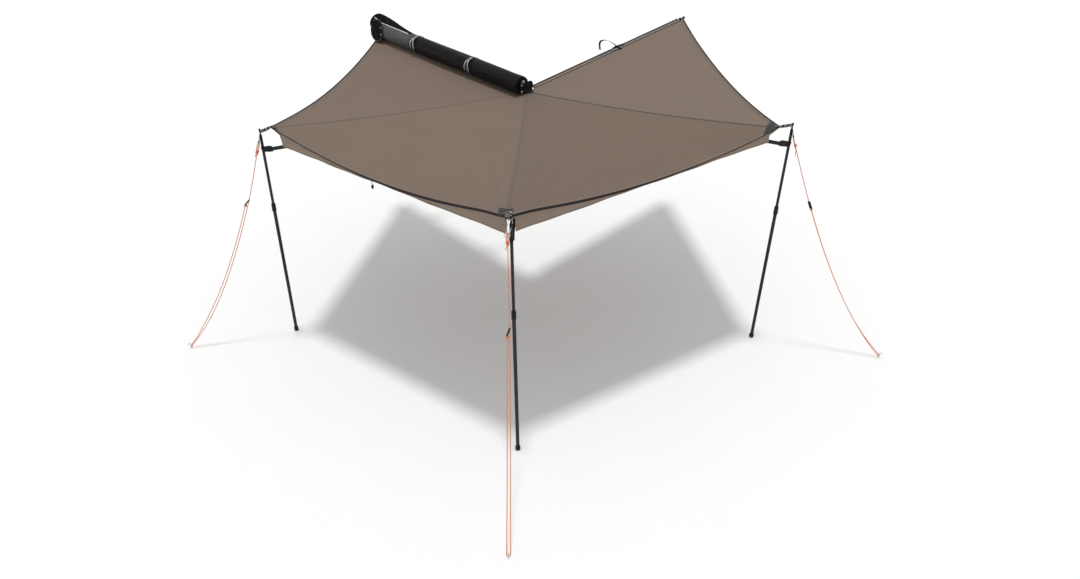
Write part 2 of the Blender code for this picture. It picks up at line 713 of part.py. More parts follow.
def seam_corner(k, sideways):
    """A canopy corner, or the end of the root edge for -1, shifted off its seam line."""
    if k < 0:
        spot = hub_point(*ROOT_END)
        along = Vector((ROOT_END[0], ROOT_END[1], 0.0)).normalized()
    else:
        along = turned(CANOPY_ANGLES[k])
        spot = hub_point(*(along * CANOPY_REACH).xy, CORNER_HEIGHTS[k])
    across = Vector((-along.y, along.x, 0.0))
    return spot, across * sideways


def build_panel(k, material):
    """One canopy panel: a sagging triangular sheet with a band hanging down from its hem."""
    columns, rows = 12, 6
    start, start_shift = seam_corner(k - 1, SEAT_GAP)
    end, end_shift = seam_corner(k, -SEAT_GAP)
    chord = (end - start).length
    across = [c / columns for c in range(columns + 1)]
    first, last = BAND_CUTS_AFTER[k], BAND_CUTS_BEFORE[k]
    if first:
        across += [first / chord, (first + BAND_CUT_STEP) / chord]
    if last:
        across += [1.0 - last / chord, 1.0 - (last + BAND_CUT_STEP) / chord]
    across.sort()
    apex = hub_point(0.0, 0.0, APEX_HEIGHT)
    foot_low, foot_high = BAND_FEET[k], BAND_FEET[k + 1]
    top, under = [], []
    shell = Shell()

    def inward(spot):
        return Vector((apex.x - spot.x, apex.y - spot.y, 0.0)).normalized() * CANOPY_THICK

    shares = [APEX_START + (1.0 - APEX_START) * i / rows for i in range(rows + 1)]
    for v in shares:
        line, below = [], []
        for s in across:
            spot = (apex.lerp(start, v) + start_shift).lerp(apex.lerp(end, v) + end_shift, s)
            spot.z -= HEM_SAGS[k] * v ** 1.6 * 4 * s * (1 - s)
            spot.z -= (SEAM_SAGS[k] * (1 - s) + SEAM_SAGS[k + 1] * s) * 4 * v * (1 - v)
            line.append(spot)
            shift = Vector((0, 0, -CANOPY_THICK))
            if v == shares[-1]:
                shift += inward(spot)
            below.append(spot + shift)
        top.append(shell.loop(line))
        under.append(shell.loop(below))
    hem = [shell.points[n].copy() for n in top[-1]]
    line, below = [], []
    for s, spot in zip(across, hem):
        foot = foot_low + (foot_high - foot_low) * s
        for away, cut in ((s * chord, first), ((1.0 - s) * chord, last)):
            if cut and away < cut + BAND_CUT_STEP / 2:
                depth = BAND_END_DEPTH + (BAND_CUT_DEPTH - BAND_END_DEPTH) * away / cut
                foot = max(foot, spot.z - depth)
        down = Vector((spot.x, spot.y, min(foot, spot.z - 0.012)))
        line.append(down)
        below.append(down + inward(spot))
    top.append(shell.loop(line))
    under.append(shell.loop(below))
    shell.sheet(top)
    shell.sheet(under)
    shell.seam(top[0], under[0])
    shell.seam(top[-1], under[-1])
    shell.seam([r[0] for r in top], [r[0] for r in under])
    shell.seam([r[-1] for r in top], [r[-1] for r in under])
    shell.make(f"canopy_{k + 1}", material, hub_point(0.0, 0.0, APEX_HEIGHT), 60.0)


def build_corner_strap(k, material):
    """The webbing strap from a canopy corner to the neck of the post, with its eye."""
    place = arm_place(k)
    hub = hub_point(0.0, 0.0, arm_level(k))
    neck = arm_place(k).inverted() @ corner_place(k) @ Vector((0.0, LEG_OFFSET, POST_NECK_TOP - 0.006))
    spot, _ = seam_corner(k, 0.0)
    tip = arm_place(k).inverted() @ spot
    half = CORNER_STRAP_WIDTH / 2
    start = tip.y + 2 * SEAT_GAP
    outline = [(-half, start), (half, start), (half, neck.y - 0.014)]
    outline += [(neck.x + x, neck.y + y) for x, y in arc(0, 0, half, -15, 195, 9)]
    outline += [(-half, neck.y - 0.014)]
    eye = circle(POST_NECK + SWING_GAP, 12, neck.x, neck.y)

    def slope(x, y, z):
        f = min(1.0, max(0.0, (neck.y - 0.014 - y) / (neck.y - 0.014 - start)))
        return (x + f * tip.x, y, z + neck.z + f * (tip.z - neck.z))

    plate(f"corner_strap_{k + 1}", material, place, hub, outline, (eye,), 0.0, 0.0016, slope)


def clip_frame(k):
    """The frame of a clip: its inner end round the post's neck, +Y down along the loop."""
    corner = corner_place(k) @ Matrix.Translation((0.0, LEG_OFFSET, 0.0))
    inner = -(POST_NECK + CLIP_WIRE + 2 * SEAT_GAP)
    spot = corner @ Matrix.Translation((0.0, inner, POST_NECK_TOP - 0.013))
    return spot @ Matrix.Rotation(math.radians(-CLIP_DROP), 4, "X")


def build_clip(k, material):
    """The closed wire link that hangs from the post's neck and holds the guy rope."""
    place = clip_frame(k)
    hub = hub_point(0.0, 0.0, arm_level(k))
    narrow = CLIP_HALF
    shape = arc(0, narrow, narrow, 180, 360, 9)
    shape += arc(0, CLIP_LENGTH - narrow, narrow, 0, 180, 9)
    points = [place @ Vector((x, y, 0.0)) for x, y in shape]
    tube_curve(f"clip_{k + 1}", material, hub, points, CLIP_WIRE, 2, closed=True)


def rope_line(k):
    """The guy rope's line as a function of the share run, with its sideways direction."""
    end = hub_point(*PEG_PLACES[k], -GROUND_DROP + 0.020)
    link = clip_frame(k) @ Vector((0.0, CLIP_LENGTH + CLIP_WIRE + SEAT_GAP, 0.0))
    chord = end - link
    side = Vector((-chord.y, chord.x, 0.0)).normalized()

    def at(t):
        spot = link + chord * t
        spot.z -= 4 * ROPE_SAGS[k] * t * (1 - t)
        return spot

    return at, side


def build_rope(k, mats):
    """A guy rope: one strand to the tensioner, then a loop round the peg and back."""
    hub = hub_point(0.0, 0.0, arm_level(k))
    at, side = rope_line(k)
    share = TENSIONER_SHARES[k]
    near = TENSIONER_HALF
    last = at(1.0)
    flat = Vector((last.x - at(0.9).x, last.y - at(0.9).y, 0.0)).normalized()

    def spread(t):
        if t < share:
            return near * smooth(t / (share * 0.9))
        return near + (ROPE_BEND - near) * (t - share) / (1.0 - share)

    points = [at(t) + side * spread(t) for t in (share * i / 8 for i in range(9))]
    run = [share + (0.992 - share) * (i + 1) / 13 for i in range(13)]
    turn = last - flat * (ROPE_BEND - PEG_RADIUS - ROPE_RADIUS - RUNNING_GAP)
    points += [at(t) + side * spread(t) for t in run]
    for angle in range(90, -91, -30):
        a = math.radians(angle)
        points.append(turn + flat * (ROPE_BEND * math.cos(a)) + side * (ROPE_BEND * math.sin(a)))
    points += [at(t) - side * spread(t) for t in reversed(run)]
    points += [at(share - d) - side * near for d in (0.0, 0.012)]
    tube_curve(f"rope_{k + 1}", mats["cord"], hub, points, ROPE_RADIUS, 2)

    ahead = (at(share + 0.01) - at(share - 0.01)).normalized()
    up = ahead.cross(side).normalized()
    frame = Matrix((side, up, ahead)).transposed().to_4x4()
    frame.translation = at(share)
    groove = ROPE_RADIUS + RUNNING_GAP
    half = near + 0.0015
    thick = TENSIONER_THICK / 2
    open_at = math.degrees(math.acos((half - near) / groove))
    right = [(half, -thick), *arc(near, 0, groove, -open_at, -360 + open_at, 9), (half, thick)]
    left = [(-x, -y) for x, y in right]
    plate(f"tensioner_{k + 1}", mats["moulded"], frame, hub, right + left, (),
          -TENSIONER_LENGTH / 2, TENSIONER_LENGTH / 2)

    foot = Vector((last.x, last.y, -GROUND_DROP + 0.020))
    lean = math.tan(math.radians(PEG_LEAN))
    up_axis = (Vector((0, 0, 1)) + flat * lean).normalized()
    out = (flat - up_axis * flat.dot(up_axis)).normalized()
    bend = 0.009
    shank = PEG_SHANK_TOP - 0.020
    points = [foot - up_axis * (PEG_DEPTH + 0.020), foot - up_axis * 0.060, foot, foot + up_axis * shank]
    crown = foot + up_axis * shank + out * bend
    for angle in range(150, -31, -20):
        a = math.radians(angle)
        points.append(crown + out * (bend * math.cos(a)) + up_axis * (bend * math.sin(a)))
    tube_curve(f"peg_{k + 1}", mats["bright"], hub, points, PEG_RADIUS, 2)


def build_tie_down(mats):
    """The webbing loop over the last arm, open on the side where the canopy passes."""
    k = len(ARM_ANGLES) - 1
    hub = hub_point(0.0, 0.0, arm_level(k))
    along = 1.12
    rise = math.tan(math.radians(LAST_ARM_RISE)) * (along - KNUCKLE_NECK)
    edge = APEX_HEIGHT + (CORNER_HEIGHTS[k] - APEX_HEIGHT) * along / CANOPY_REACH - arm_level(k)
    half = ARM_WIDTH / 2 + SEAT_GAP + 0.0004
    low = rise - ARM_HEIGHT / 2 - SEAT_GAP - 0.0012
    high = edge + 0.004
    t = STRAP_THICK
    outline = [(half, low), (half, low + 0.020), (half + t, low + 0.020), (half + t, low - t),
               (-half - t, low - t), (-half - t, high + t), (0.016, high + t), (0.016, high),
               (-half, high), (-half, low)]
    place = arm_place(k) @ Matrix(((1, 0, 0, 0), (0, 0, 1, 0), (0, 1, 0, 0), (0, 0, 0, 1)))
    plate("tie_down", mats["webbing"], place, hub, outline, (),
          along - STRAP_WIDTH / 2, along + STRAP_WIDTH / 2)


def main():
    """Builds every piece of the awning."""
    for obj in list(bpy.data.objects):
        bpy.data.objects.remove(obj)
    mats = {
        "coated": finish("coated", (0.030, 0.030, 0.032), 0.45, 0.6),
        "alloy": finish("alloy", (0.060, 0.060, 0.064), 0.40, 0.8),
        "bright": finish("bright", (0.55, 0.55, 0.56), 0.30, 1.0),
        "moulded": finish("moulded", (0.020, 0.020, 0.022), 0.55),
        "rubber": finish("rubber", (0.015, 0.015, 0.015), 0.85),
        "sheeting": finish("sheeting", (0.045, 0.046, 0.050), 0.50),
        "webbing": finish("webbing", (0.080, 0.080, 0.082), 0.80),
        "canvas": finish("canvas", (0.215, 0.175, 0.145), 0.90),
        "cord": finish("cord", (0.70, 0.25, 0.12), 0.80),
    }
    build_hub(mats)
    build_rail(mats)
    build_bag(mats)
    for k in range(len(ARM_ANGLES)):
        build_arm(k, mats["alloy"])
        build_panel(k, mats["canvas"])
    build_arm_cap(mats["moulded"])
    build_tie_down(mats)
    for k in range(len(PEG_PLACES)):
        build_corner_joint(k, mats["moulded"])
        build_corner(k, mats)
        build_leg(k, mats)
        build_corner_strap(k, mats["webbing"])
        build_clip(k, mats["bright"])
        build_rope(k, mats)


main()
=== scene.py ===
"""A fan-shaped side awning with four arms, three legs, guy ropes and a rolled-up bag.

Metres, in the part's own frame: +X points inboard over the crossbars, +Y along the rail, +Z up.
"""

import logging
import math
from dataclasses import dataclass, field
from enum import Enum
from typing import Sequence

import bmesh
import bpy
import numpy as np
from mathutils import Matrix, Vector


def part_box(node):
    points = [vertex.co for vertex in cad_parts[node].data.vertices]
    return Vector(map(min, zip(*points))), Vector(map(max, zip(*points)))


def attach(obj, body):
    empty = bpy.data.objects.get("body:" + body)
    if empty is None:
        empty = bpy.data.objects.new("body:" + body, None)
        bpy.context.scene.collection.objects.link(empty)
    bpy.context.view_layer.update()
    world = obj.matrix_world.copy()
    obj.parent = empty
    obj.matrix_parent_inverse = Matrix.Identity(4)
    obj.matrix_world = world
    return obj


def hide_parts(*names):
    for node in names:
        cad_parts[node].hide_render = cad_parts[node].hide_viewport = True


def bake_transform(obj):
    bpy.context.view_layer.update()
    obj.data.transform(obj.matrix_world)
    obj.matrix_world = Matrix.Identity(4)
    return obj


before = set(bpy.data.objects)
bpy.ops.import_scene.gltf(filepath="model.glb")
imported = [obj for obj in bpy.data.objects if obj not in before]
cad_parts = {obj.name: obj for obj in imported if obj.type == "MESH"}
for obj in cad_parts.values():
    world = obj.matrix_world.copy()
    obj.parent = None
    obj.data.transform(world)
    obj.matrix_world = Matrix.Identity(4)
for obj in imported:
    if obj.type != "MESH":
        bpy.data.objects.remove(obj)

log = logging.getLogger("awning")
Array = np.ndarray


class Slot(str, Enum):
    """The record's material slots."""

    COATED = "coated_steel"
    ALLOY = "dark_alloy"
    BRIGHT = "bright_steel"
    NYLON = "black_nylon"
    RUBBER = "foot_rubber"
    SHEETING = "bag_sheeting"
    WEBBING = "webbing"
    CANVAS = "canvas"
    CORD = "guy_cord"


class Finish(str, Enum):
    """Every finish that a piece can take."""

    CANVAS = "canvas"
    CANVAS_PAINTED_SHADE = "canvas_painted_shade"
    CANVAS_PAINTED_LIGHT = "canvas_painted_light"
    BAND_PAINTED_LIGHT = "canvas_band_painted_light"
    EDGE = "canvas_edge"
    SEAM = "canvas_seam"
    HEM = "canvas_hem"
    DARK_CORD_AND_PAINTED_SHADE = "dark_cord_and_painted_shade"
    PATCH = "corner_patch"
    WEBBING = "webbing"
    PALE_WEBBING = "pale_webbing"
    SHEETING = "bag_sheeting"
    LINING = "bag_lining"
    PIPING = "piping"
    ALLOY = "dark_alloy"
    COATED = "coated_steel"
    BRIGHT = "bright_steel"
    DULLED = "dulled_steel"
    NYLON = "black_nylon"
    RUBBER = "foot_rubber"
    CORD = "guy_cord"


def ease(x: Array | float) -> Array | float:
    """Rises smoothly from 0 to 1 while x does."""
    x = np.clip(x, 0.0, 1.0)
    return x * x * (3.0 - 2.0 * x)


def hump(x: Array | float, middle: float, width: float) -> Array | float:
    """A bell of height 1 round the middle, exp(-((x - middle) / width) squared)."""
    return np.exp(-(((x - middle) / width) ** 2))


def shift(x: float, y: float, z: float) -> Array:
    """A 4 by 4 matrix that moves points by x, y and z."""
    return np.eye(4) + np.outer((x, y, z, 0.0), (0.0, 0.0, 0.0, 1.0))


def turn(axis: str, degrees: float) -> Array:
    """A 4 by 4 matrix that turns points about one axis."""
    return np.array(Matrix.Rotation(math.radians(degrees), 4, axis))


def moved(matrix: Array, points: Array) -> Array:
    """Points carried by a 4 by 4 matrix."""
    return np.asarray(points, float) @ matrix[:3, :3].T + matrix[:3, 3]


def unit(vector: Array) -> Array:
    """The same direction with length 1, row by row."""
    return vector / np.linalg.norm(vector, axis=-1, keepdims=True)


def placed(across: Array, ahead: Array, up: Array, spot: Array) -> Array:
    """The frame with these directions of X, Y and Z and its origin at a spot."""
    return np.vstack([np.column_stack([across, ahead, up, spot]), (0.0, 0.0, 0.0, 1.0)])


def combined(*parts: Array | float) -> Array:
    """Points from their coordinates, which may be numbers or arrays whose shapes fit together."""
    return np.stack(np.broadcast_arrays(*parts), -1)


def around_y(radius: Array | float, t: Array | float) -> Array:
    """Points (radius cos t, 0, radius sin t) round the Y axis."""
    return combined(radius * np.cos(t), 0.0, radius * np.sin(t))


def wrapped(angle: Array | float) -> Array | float:
    """An angle brought between -pi and pi."""
    return (angle + math.pi) % (2 * math.pi) - math.pi


def lengths(points: Array) -> Array:
    """Running length along a row of points, from 0."""
    return np.concatenate([[0.0], np.cumsum(np.linalg.norm(np.diff(points, axis=0), axis=1))])


@dataclass(frozen=True)
class Layout:
    """Where the awning's parts stand, in metres and degrees.

    Args:
        hub: the hub pin seen from the rear bracket foot.
        ground: height of the ground.
        arm_angles: each arm's heading, counter-clockwise from +Y.
        arm_lowest: height of the first arm's middle.
        arm_pitch: how far each arm lies above the one before it.
        arm_height: height of an arm's tube.
        arm_width: width of an arm's tube.
        last_arm_rise: how steeply the last arm rises beyond its knuckle.
        knuckle_neck: distance from the hub pin to the knuckle's end.
        pivot_reach: distance from the hub pin to a fold pin.
        leg_offset: distance from a fold pin out to the leg's axis.
        leg_leans: each leg's lean outwards and sideways.
        post_neck: radius of a post's neck.
        post_neck_top: height of the neck's top above the fold pin.
        canopy_reach: distance from the hub to a canopy corner.
        seam_angles: each canopy corner's heading.
        corner_heights: height of each canopy corner.
        apex_height: height of the point over the hub where the seams would meet.
        root_end: far end of the root edge, seen from the hub pin.
        apex_start: share of the reach at which the panels begin.
        hem_sags: how far each panel's hem sags.
        seam_sags: how far each seam sags, from the root edge to the last arm.
        band_feet: height of the band's foot at the root edge and at each corner.
        band_cuts_before: length of each band's cut before its last corner.
        band_cuts_after: length of each band's cut after its first corner.
        band_cut_depth: depth of the band where a cut begins.
        band_end_depth: depth that is left at the corner.
    """

    hub: tuple[float, float] = (-0.12, -0.64)
    ground: float = -1.80
    arm_angles: tuple[float, ...] = (67.35, 134.4, 202.15, 271.1)
    arm_lowest: float = -0.088
    arm_pitch: float = 0.028
    arm_height: float = 0.022
    arm_width: float = 0.026
    last_arm_rise: float = 3.5
    knuckle_neck: float = 0.060
    pivot_reach: float = 2.055
    leg_offset: float = 0.034
    leg_leans: tuple[tuple[float, float], ...] = ((1.34, -1.60), (1.84, -0.07), (-1.29, -0.70))
    post_neck: float = 0.005
    post_neck_top: float = 0.160
    canopy_reach: float = 2.0
    seam_angles: tuple[float, ...] = (67.85, 133.5, 202.4, 271.1)
    corner_heights: tuple[float, ...] = (0.089, 0.089, 0.089, 0.142)
    apex_height: float = 0.040
    root_end: tuple[float, float, float] = (-0.0635, 1.950, 0.0265)
    apex_start: float = 0.016
    hem_sags: tuple[float, ...] = (0.102, 0.120, 0.105, 0.100)
    seam_sags: tuple[float, ...] = (0.0, 0.030, 0.030, 0.030, 0.0)
    band_feet: tuple[float, ...] = (0.004, -0.045, -0.067, -0.008, 0.134)
    band_cuts_before: tuple[float, ...] = (0.083, 0.0, 0.083, 0.0)
    band_cuts_after: tuple[float, ...] = (0.0, 0.083, 0.058, 0.083)
    band_cut_depth: float = 0.030
    band_end_depth: float = 0.012

    def from_hub(self, x: float, y: float, z: float) -> Array:
        """A point given from the hub pin."""
        return np.array([self.hub[0] + x, self.hub[1] + y, z])

    def at(self, x: float, y: float, z: float) -> Array:
        """The upright frame at a point given from the hub pin."""
        return shift(*self.from_hub(x, y, z))

    def arm(self, k: int) -> Array:
        """The frame of an arm: its middle at the hub pin, +Y out along it."""
        level = self.arm_lowest + self.arm_pitch * k
        return self.at(0, 0, level) @ turn("Z", self.arm_angles[k])

    def last_arm_section(self, along: Array | float) -> tuple[Array | float, Array | float]:
        """Heights of the canopy's edge and of the last arm's underside, in the arm's frame.

        Args:
            along: distance from the hub pin.

        Returns:
            The edge's height and the underside's.
        """
        edge = self.apex_height + (self.corner_heights[3] - self.apex_height) * along / self.canopy_reach
        middle = math.tan(math.radians(self.last_arm_rise)) * (along - self.knuckle_neck)
        return edge - self.arm(3)[2, 3], middle - self.arm_height / 2

    def corner(self, k: int) -> Array:
        """The frame of a corner: the leg's axis at the fold pin's level, +Y out, +Z up the leg.

        Args:
            k: number of the corner, from 0.

        Returns:
            The frame as a 4 by 4 matrix.
        """
        lean, side = self.leg_leans[k]
        place = self.arm(k) @ shift(0, self.pivot_reach, 0) @ turn("X", lean) @ turn("Y", side)
        return place @ shift(0, self.leg_offset, 0)

    def leg_length(self, k: int) -> float:
        """Distance along the leg from the fold pin's level down to the ground."""
        place = self.corner(k)
        return (place[2, 3] - self.ground) / place[2, 2]

    def apex(self) -> Array:
        """The point over the hub where the seams would meet."""
        return self.from_hub(0, 0, self.apex_height)

    def seam_end(self, k: int) -> Array:
        """A canopy corner, or the end of the root edge for -1.

        Args:
            k: number of the corner, or -1 for the root edge.

        Returns:
            The point in the part's frame.
        """
        if k < 0:
            return self.from_hub(*self.root_end)
        a = math.radians(self.seam_angles[k])
        reach = self.canopy_reach
        return self.from_hub(-math.sin(a) * reach, math.cos(a) * reach, self.corner_heights[k])


@dataclass
class Piece:
    """Gathers grids of points into one mesh.

    Args:
        name: the object's name.
        finishes: the finishes that its patches take by number.
        patches: each grid's points, quads, pattern places and numbers of its finishes.
        caps: rings of points that are filled, each with its finish.
        count: number of points so far.
    """

    name: str
    finishes: Sequence[Finish]
    patches: list[tuple[Array, ...]] = field(default_factory=list)
    caps: list[tuple[Array, int]] = field(default_factory=list)
    count: int = 0

    def grid(self, rows: Array, uv: Array | None = None, wrap: bool = False, close: bool = False,
             caps: bool = False, slot: int | Array = 0) -> "Piece":
        """Adds a grid of points as quads.

        A pattern that isn't given is measured along the first column and the widest row.

        Args:
            rows: points, n rows by m columns by 3.
            uv: their place in the pattern in metres, with one column more where they wrap.
            wrap: whether the last column joins the first.
            close: whether the last row joins the first.
            caps: whether the first and last row are filled.
            slot: number of the finish, or one for each quad.

        Returns:
            This piece, for the next call.
        """
        n, m, _ = rows.shape
        if uv is None:
            wide = rows[np.argmax(np.linalg.norm(np.diff(rows, axis=1), axis=2).sum(axis=1))]
            around = lengths(np.vstack([wide, wide[:1]]) if wrap else wide)
            uv = combined(around, lengths(rows[:, 0])[:, None])
        index = np.arange(n * m).reshape(n, m) + self.count
        columns = m if wrap else m - 1
        height = n if close else n - 1
        i, j = np.meshgrid(np.arange(height), np.arange(columns), indexing="ij")
        i2, j2 = (i + 1) % n, (j + 1) % m
        quads = np.stack([index[i, j], index[i, j2], index[i2, j2], index[i2, j]], -1)
        row, col = np.minimum(i + 1, n - 1) if close else i + 1, j + 1
        corners = np.stack([uv[i, j], uv[i, col], uv[row, col], uv[row, j]], -2)
        slots = np.broadcast_to(slot, quads.shape[:2]).ravel()
        self.patches.append((rows.reshape(-1, 3), quads.reshape(-1, 4), corners.reshape(-1, 2), slots))
        if caps:
            self.caps += [(index[0], slot), (index[-1], slot)]
        self.count += n * m
        return self

    def tube(self, path: Array, radius: float | Array, sides: int = 12, slot: int = 0,
             closed: bool = False) -> "Piece":
        """Adds a round tube: each point is path + radius (cos t normal + sin t binormal).

        Args:
            path: the centre line.
            radius: one radius, or one for each point of the path.
            sides: number of points round it.
            slot: number of the finish.
            closed: whether the path is a closed loop.

        Returns:
            This piece, for the next call.
        """
        normal, binormal = carried_frames(path, closed)
        t = circle(sides)[:, None]
        r = np.broadcast_to(np.asarray(radius, float), (len(path),))[:, None, None]
        ring = normal[:, None] * np.cos(t) + binormal[:, None] * np.sin(t)
        return self.grid(path[:, None] + ring * r, wrap=True, close=closed, caps=not closed, slot=slot)

    def lathe(self, place: Array, profile: Sequence[tuple[float, float]], sides: int = 28,
              closed: bool = False, slot: int = 0) -> "Piece":
        """Adds a turned form: (r cos t, r sin t, height) for each pair of the profile.

        Args:
            place: frame whose Z is the axis.
            profile: pairs of radius and height.
            sides: number of points round it.
            closed: whether the profile is a closed loop, as for a ring.
            slot: number of the finish.

        Returns:
            This piece, for the next call.
        """
        t = circle(sides)
        r, h = np.array(profile, float).T[..., None]
        rows = combined(r * np.cos(t), r * np.sin(t), h)
        return self.grid(moved(place, rows), wrap=True, close=closed, caps=not closed, slot=slot)

    def slab(self, place: Array, outline: Array, low: float, high: float, round_by: float,
             slot: int = 0) -> "Piece":
        """Adds a plate with a rounded edge: the outline at each height, drawn in at both faces.

        Args:
            place: frame whose XY plane holds the outline.
            outline: the plate's outline.
            low: height of its lower face.
            high: height of its upper face.
            round_by: how far its edges are rounded.
            slot: number of the finish.

        Returns:
            This piece, for the next call.
        """
        middle = outline.mean(axis=0)
        inset = 1.0 - round_by / np.linalg.norm(outline - middle, axis=1)[:, None]
        steps = [(low, inset), (low + round_by, 1.0), (high - round_by, 1.0), (high, inset)]
        rows = [np.column_stack([middle + (outline - middle) * share, np.full(len(outline), height)])
                for height, share in steps]
        return self.grid(moved(place, np.array(rows)), wrap=True, caps=True, slot=slot)

    def build(self, solid: float = 0.0, smooth_angle: float = 40.0, up: bool = False) -> bpy.types.Object:
        """Makes the object.

        Args:
            solid: thickness given to an open sheet.
            smooth_angle: edges sharper than this many degrees stay sharp.
            up: whether the sheet's outer side is its upper one.

        Returns:
            The finished object.
        """
        points, quads, uvs, slots = (np.concatenate(part) for part in zip(*self.patches))
        faces = [tuple(f) for f in quads] + [tuple(c) for c, _ in self.caps]
        mesh = bpy.data.meshes.new(self.name)
        mesh.from_pydata(points, [], faces)
        flat = np.zeros((len(mesh.loops), 2))
        flat[: len(uvs)] = uvs
        mesh.uv_layers.new(name="Pattern").data.foreach_set("uv", flat.ravel())
        slots = np.append(slots, [s for _, s in self.caps]).astype(int)
        mesh.polygons.foreach_set("material_index", slots)
        for finish in self.finishes:
            mesh.materials.append(MATERIALS[finish])
        bm = bmesh.new()
        bm.from_mesh(mesh)
        bmesh.ops.recalc_face_normals(bm, faces=bm.faces)
        wrong = sum(f.normal.z for f in bm.faces) < 0 if up else bm.calc_volume(signed=True) < 0
        if wrong and (up or not solid):
            bmesh.ops.reverse_faces(bm, faces=bm.faces)
        bm.to_mesh(mesh)
        bm.free()
        mesh.shade_smooth()
        mesh.set_sharp_from_angle(angle=math.radians(smooth_angle))
        obj = added(self.name, mesh)
        if solid:
            thick = obj.modifiers.new("Thickness", "SOLIDIFY")
            thick.thickness = solid
            thick.offset = 0.0
        log.info("%s: %d faces", self.name, len(faces))
        return obj


def circle(count: int) -> Array:
    """That many angles round a full turn."""
    return np.linspace(0, 2 * math.pi, count, endpoint=False)


def added(name: str, data: bpy.types.ID) -> bpy.types.Object:
    """Puts a new object in the scene.

    Args:
        name: the object's name.
        data: its mesh, light or camera.

    Returns:
        The new object.
    """
    obj = bpy.data.objects.new(name, data)
    bpy.context.collection.objects.link(obj)
    return obj


def carried_frames(path: Array, closed: bool = False) -> tuple[Array, Array]:
    """Two directions across a path at each point, carried along it without twist.

    Args:
        path: the points of the path.
        closed: whether the last point joins the first.

    Returns:
        The normals and the binormals.
    """
    ahead = np.roll(path, -1, 0) - np.roll(path, 1, 0)
    if not closed:
        ahead[0], ahead[-1] = path[1] - path[0], path[-1] - path[-2]
    tangent = unit(ahead)
    start = np.cross(tangent[0], (0.0, 0.0, 1.0))
    if np.linalg.norm(start) < 0.05:
        start = np.cross(tangent[0], (1.0, 0.0, 0.0))
    normals = [unit(start)]
    for t in tangent[1:]:
        normals.append(unit(normals[-1] - t * (normals[-1] @ t)))
    normal = np.array(normals)
    return normal, np.cross(tangent, normal)


def rounded(width: float, height: float, radius: float, steps: int = 4) -> Array:
    """The outline of a rectangle with rounded corners, as (x, y) points round the origin.

    Args:
        width: size along X.
        height: size along Y.
        radius: radius of the corners.
        steps: points on each corner.

    Returns:
        The points, counter-clockwise.
    """
    t = np.linspace(0, math.pi / 2, steps)
    corner = np.column_stack([np.cos(t), np.sin(t)]) * radius
    middle = np.array([width / 2 - radius, height / 2 - radius])
    quarter = [turn("Z", 90 * i)[:2, :2] for i in range(4)]
    signs = [(1, 1), (-1, 1), (-1, -1), (1, -1)]
    return np.vstack([corner @ q.T + middle * s for q, s in zip(quarter, signs)])


class Graph:
    """The node tree of one material, with short ways to add to it."""

    def __init__(self, name: str, **constants: float) -> None:
        """Starts a material and sets the constants on its shader's own sockets.

        Args:
            name: the material's name.
            constants: the sockets' values, with underscores for spaces.
        """
        self.material = bpy.data.materials.new(name)
        self.material.use_nodes = True
        self.tree = self.material.node_tree
        self.shader = self.tree.nodes["Principled BSDF"]
        for socket, value in constants.items():
            self.shader.inputs[socket.replace("_", " ")].default_value = value
        self.where = self.tree.nodes.new("ShaderNodeTexCoord")

    def add(self, kind: str, inputs: dict[str | int, object], **settings: object) -> bpy.types.Node:
        """Adds a node with its settings, linked inputs and plain inputs.

        Args:
            kind: the node's type.
            inputs: a socket or a plain value for each input.
            settings: the node's own settings.

        Returns:
            The new node.
        """
        node = self.tree.nodes.new(kind)
        for key, value in settings.items():
            setattr(node, key, value)
        for key, value in inputs.items():
            if isinstance(value, bpy.types.NodeSocket):
                self.tree.links.new(value, node.inputs[key])
            else:
                node.inputs[key].default_value = value
        return node

    def math(self, operation: str, a: object, b: object = 0.0, c: object = 0.0) -> bpy.types.NodeSocket:
        """One Math node."""
        return self.add("ShaderNodeMath", {0: a, 1: b, 2: c}, operation=operation).outputs[0]

    def noise(self, scale: float, detail: float = 3.0, stretch: tuple[float, ...] = (1, 1, 1),
              flat: bool = False) -> bpy.types.NodeSocket:
        """Noise with so many lumps in a metre, drawn out along an axis by a stretch.

        Args:
            scale: lumps in a metre.
            detail: how many finer layers it has.
            stretch: how far each axis is drawn in.
            flat: whether it reads the pattern's place instead of the object's.

        Returns:
            The noise's value.
        """
        source = self.where.outputs["UV" if flat else "Object"]
        place = self.add("ShaderNodeMapping", {"Vector": source, "Scale": stretch})
        sockets = {"Vector": place.outputs[0], "Scale": scale, "Detail": detail, "Roughness": 0.55}
        return self.add("ShaderNodeTexNoise", sockets).outputs[0]

    def pattern(self) -> tuple[bpy.types.NodeSocket, bpy.types.NodeSocket]:
        """The place in the pattern, across and along, in metres."""
        node = self.add("ShaderNodeSeparateXYZ", {0: self.where.outputs["UV"]})
        return node.outputs[0], node.outputs[1]

    def blend(self, amount: object, a: Sequence[float] | object, b: Sequence[float] | object) -> object:
        """One colour mixed into another by an amount, as a new socket."""
        a, b = (c if isinstance(c, bpy.types.NodeSocket) else (*c, 1.0) for c in (a, b))
        return self.add("ShaderNodeMix", {0: amount, 6: a, 7: b}, data_type="RGBA").outputs[2]

    def finish(self, colour: object, height: object = None, depth: float = 0.0,
               roughness: object = None) -> bpy.types.Material:
        """Joins the colour, the bump and the roughness to the shader.

        Args:
            colour: the colour.
            height: the bump's height, if it has one.
            depth: the bump's full height in metres.
            roughness: a roughness that changes over the surface, if it does.

        Returns:
            The finished material.
        """
        self.tree.links.new(colour, self.shader.inputs["Base Color"])
        if height is not None:
            bump = self.add("ShaderNodeBump", {"Height": height, "Distance": depth, "Strength": 0.8})
            self.tree.links.new(bump.outputs[0], self.shader.inputs["Normal"])
        if roughness is not None:
            self.tree.links.new(roughness, self.shader.inputs["Roughness"])
        return self.material


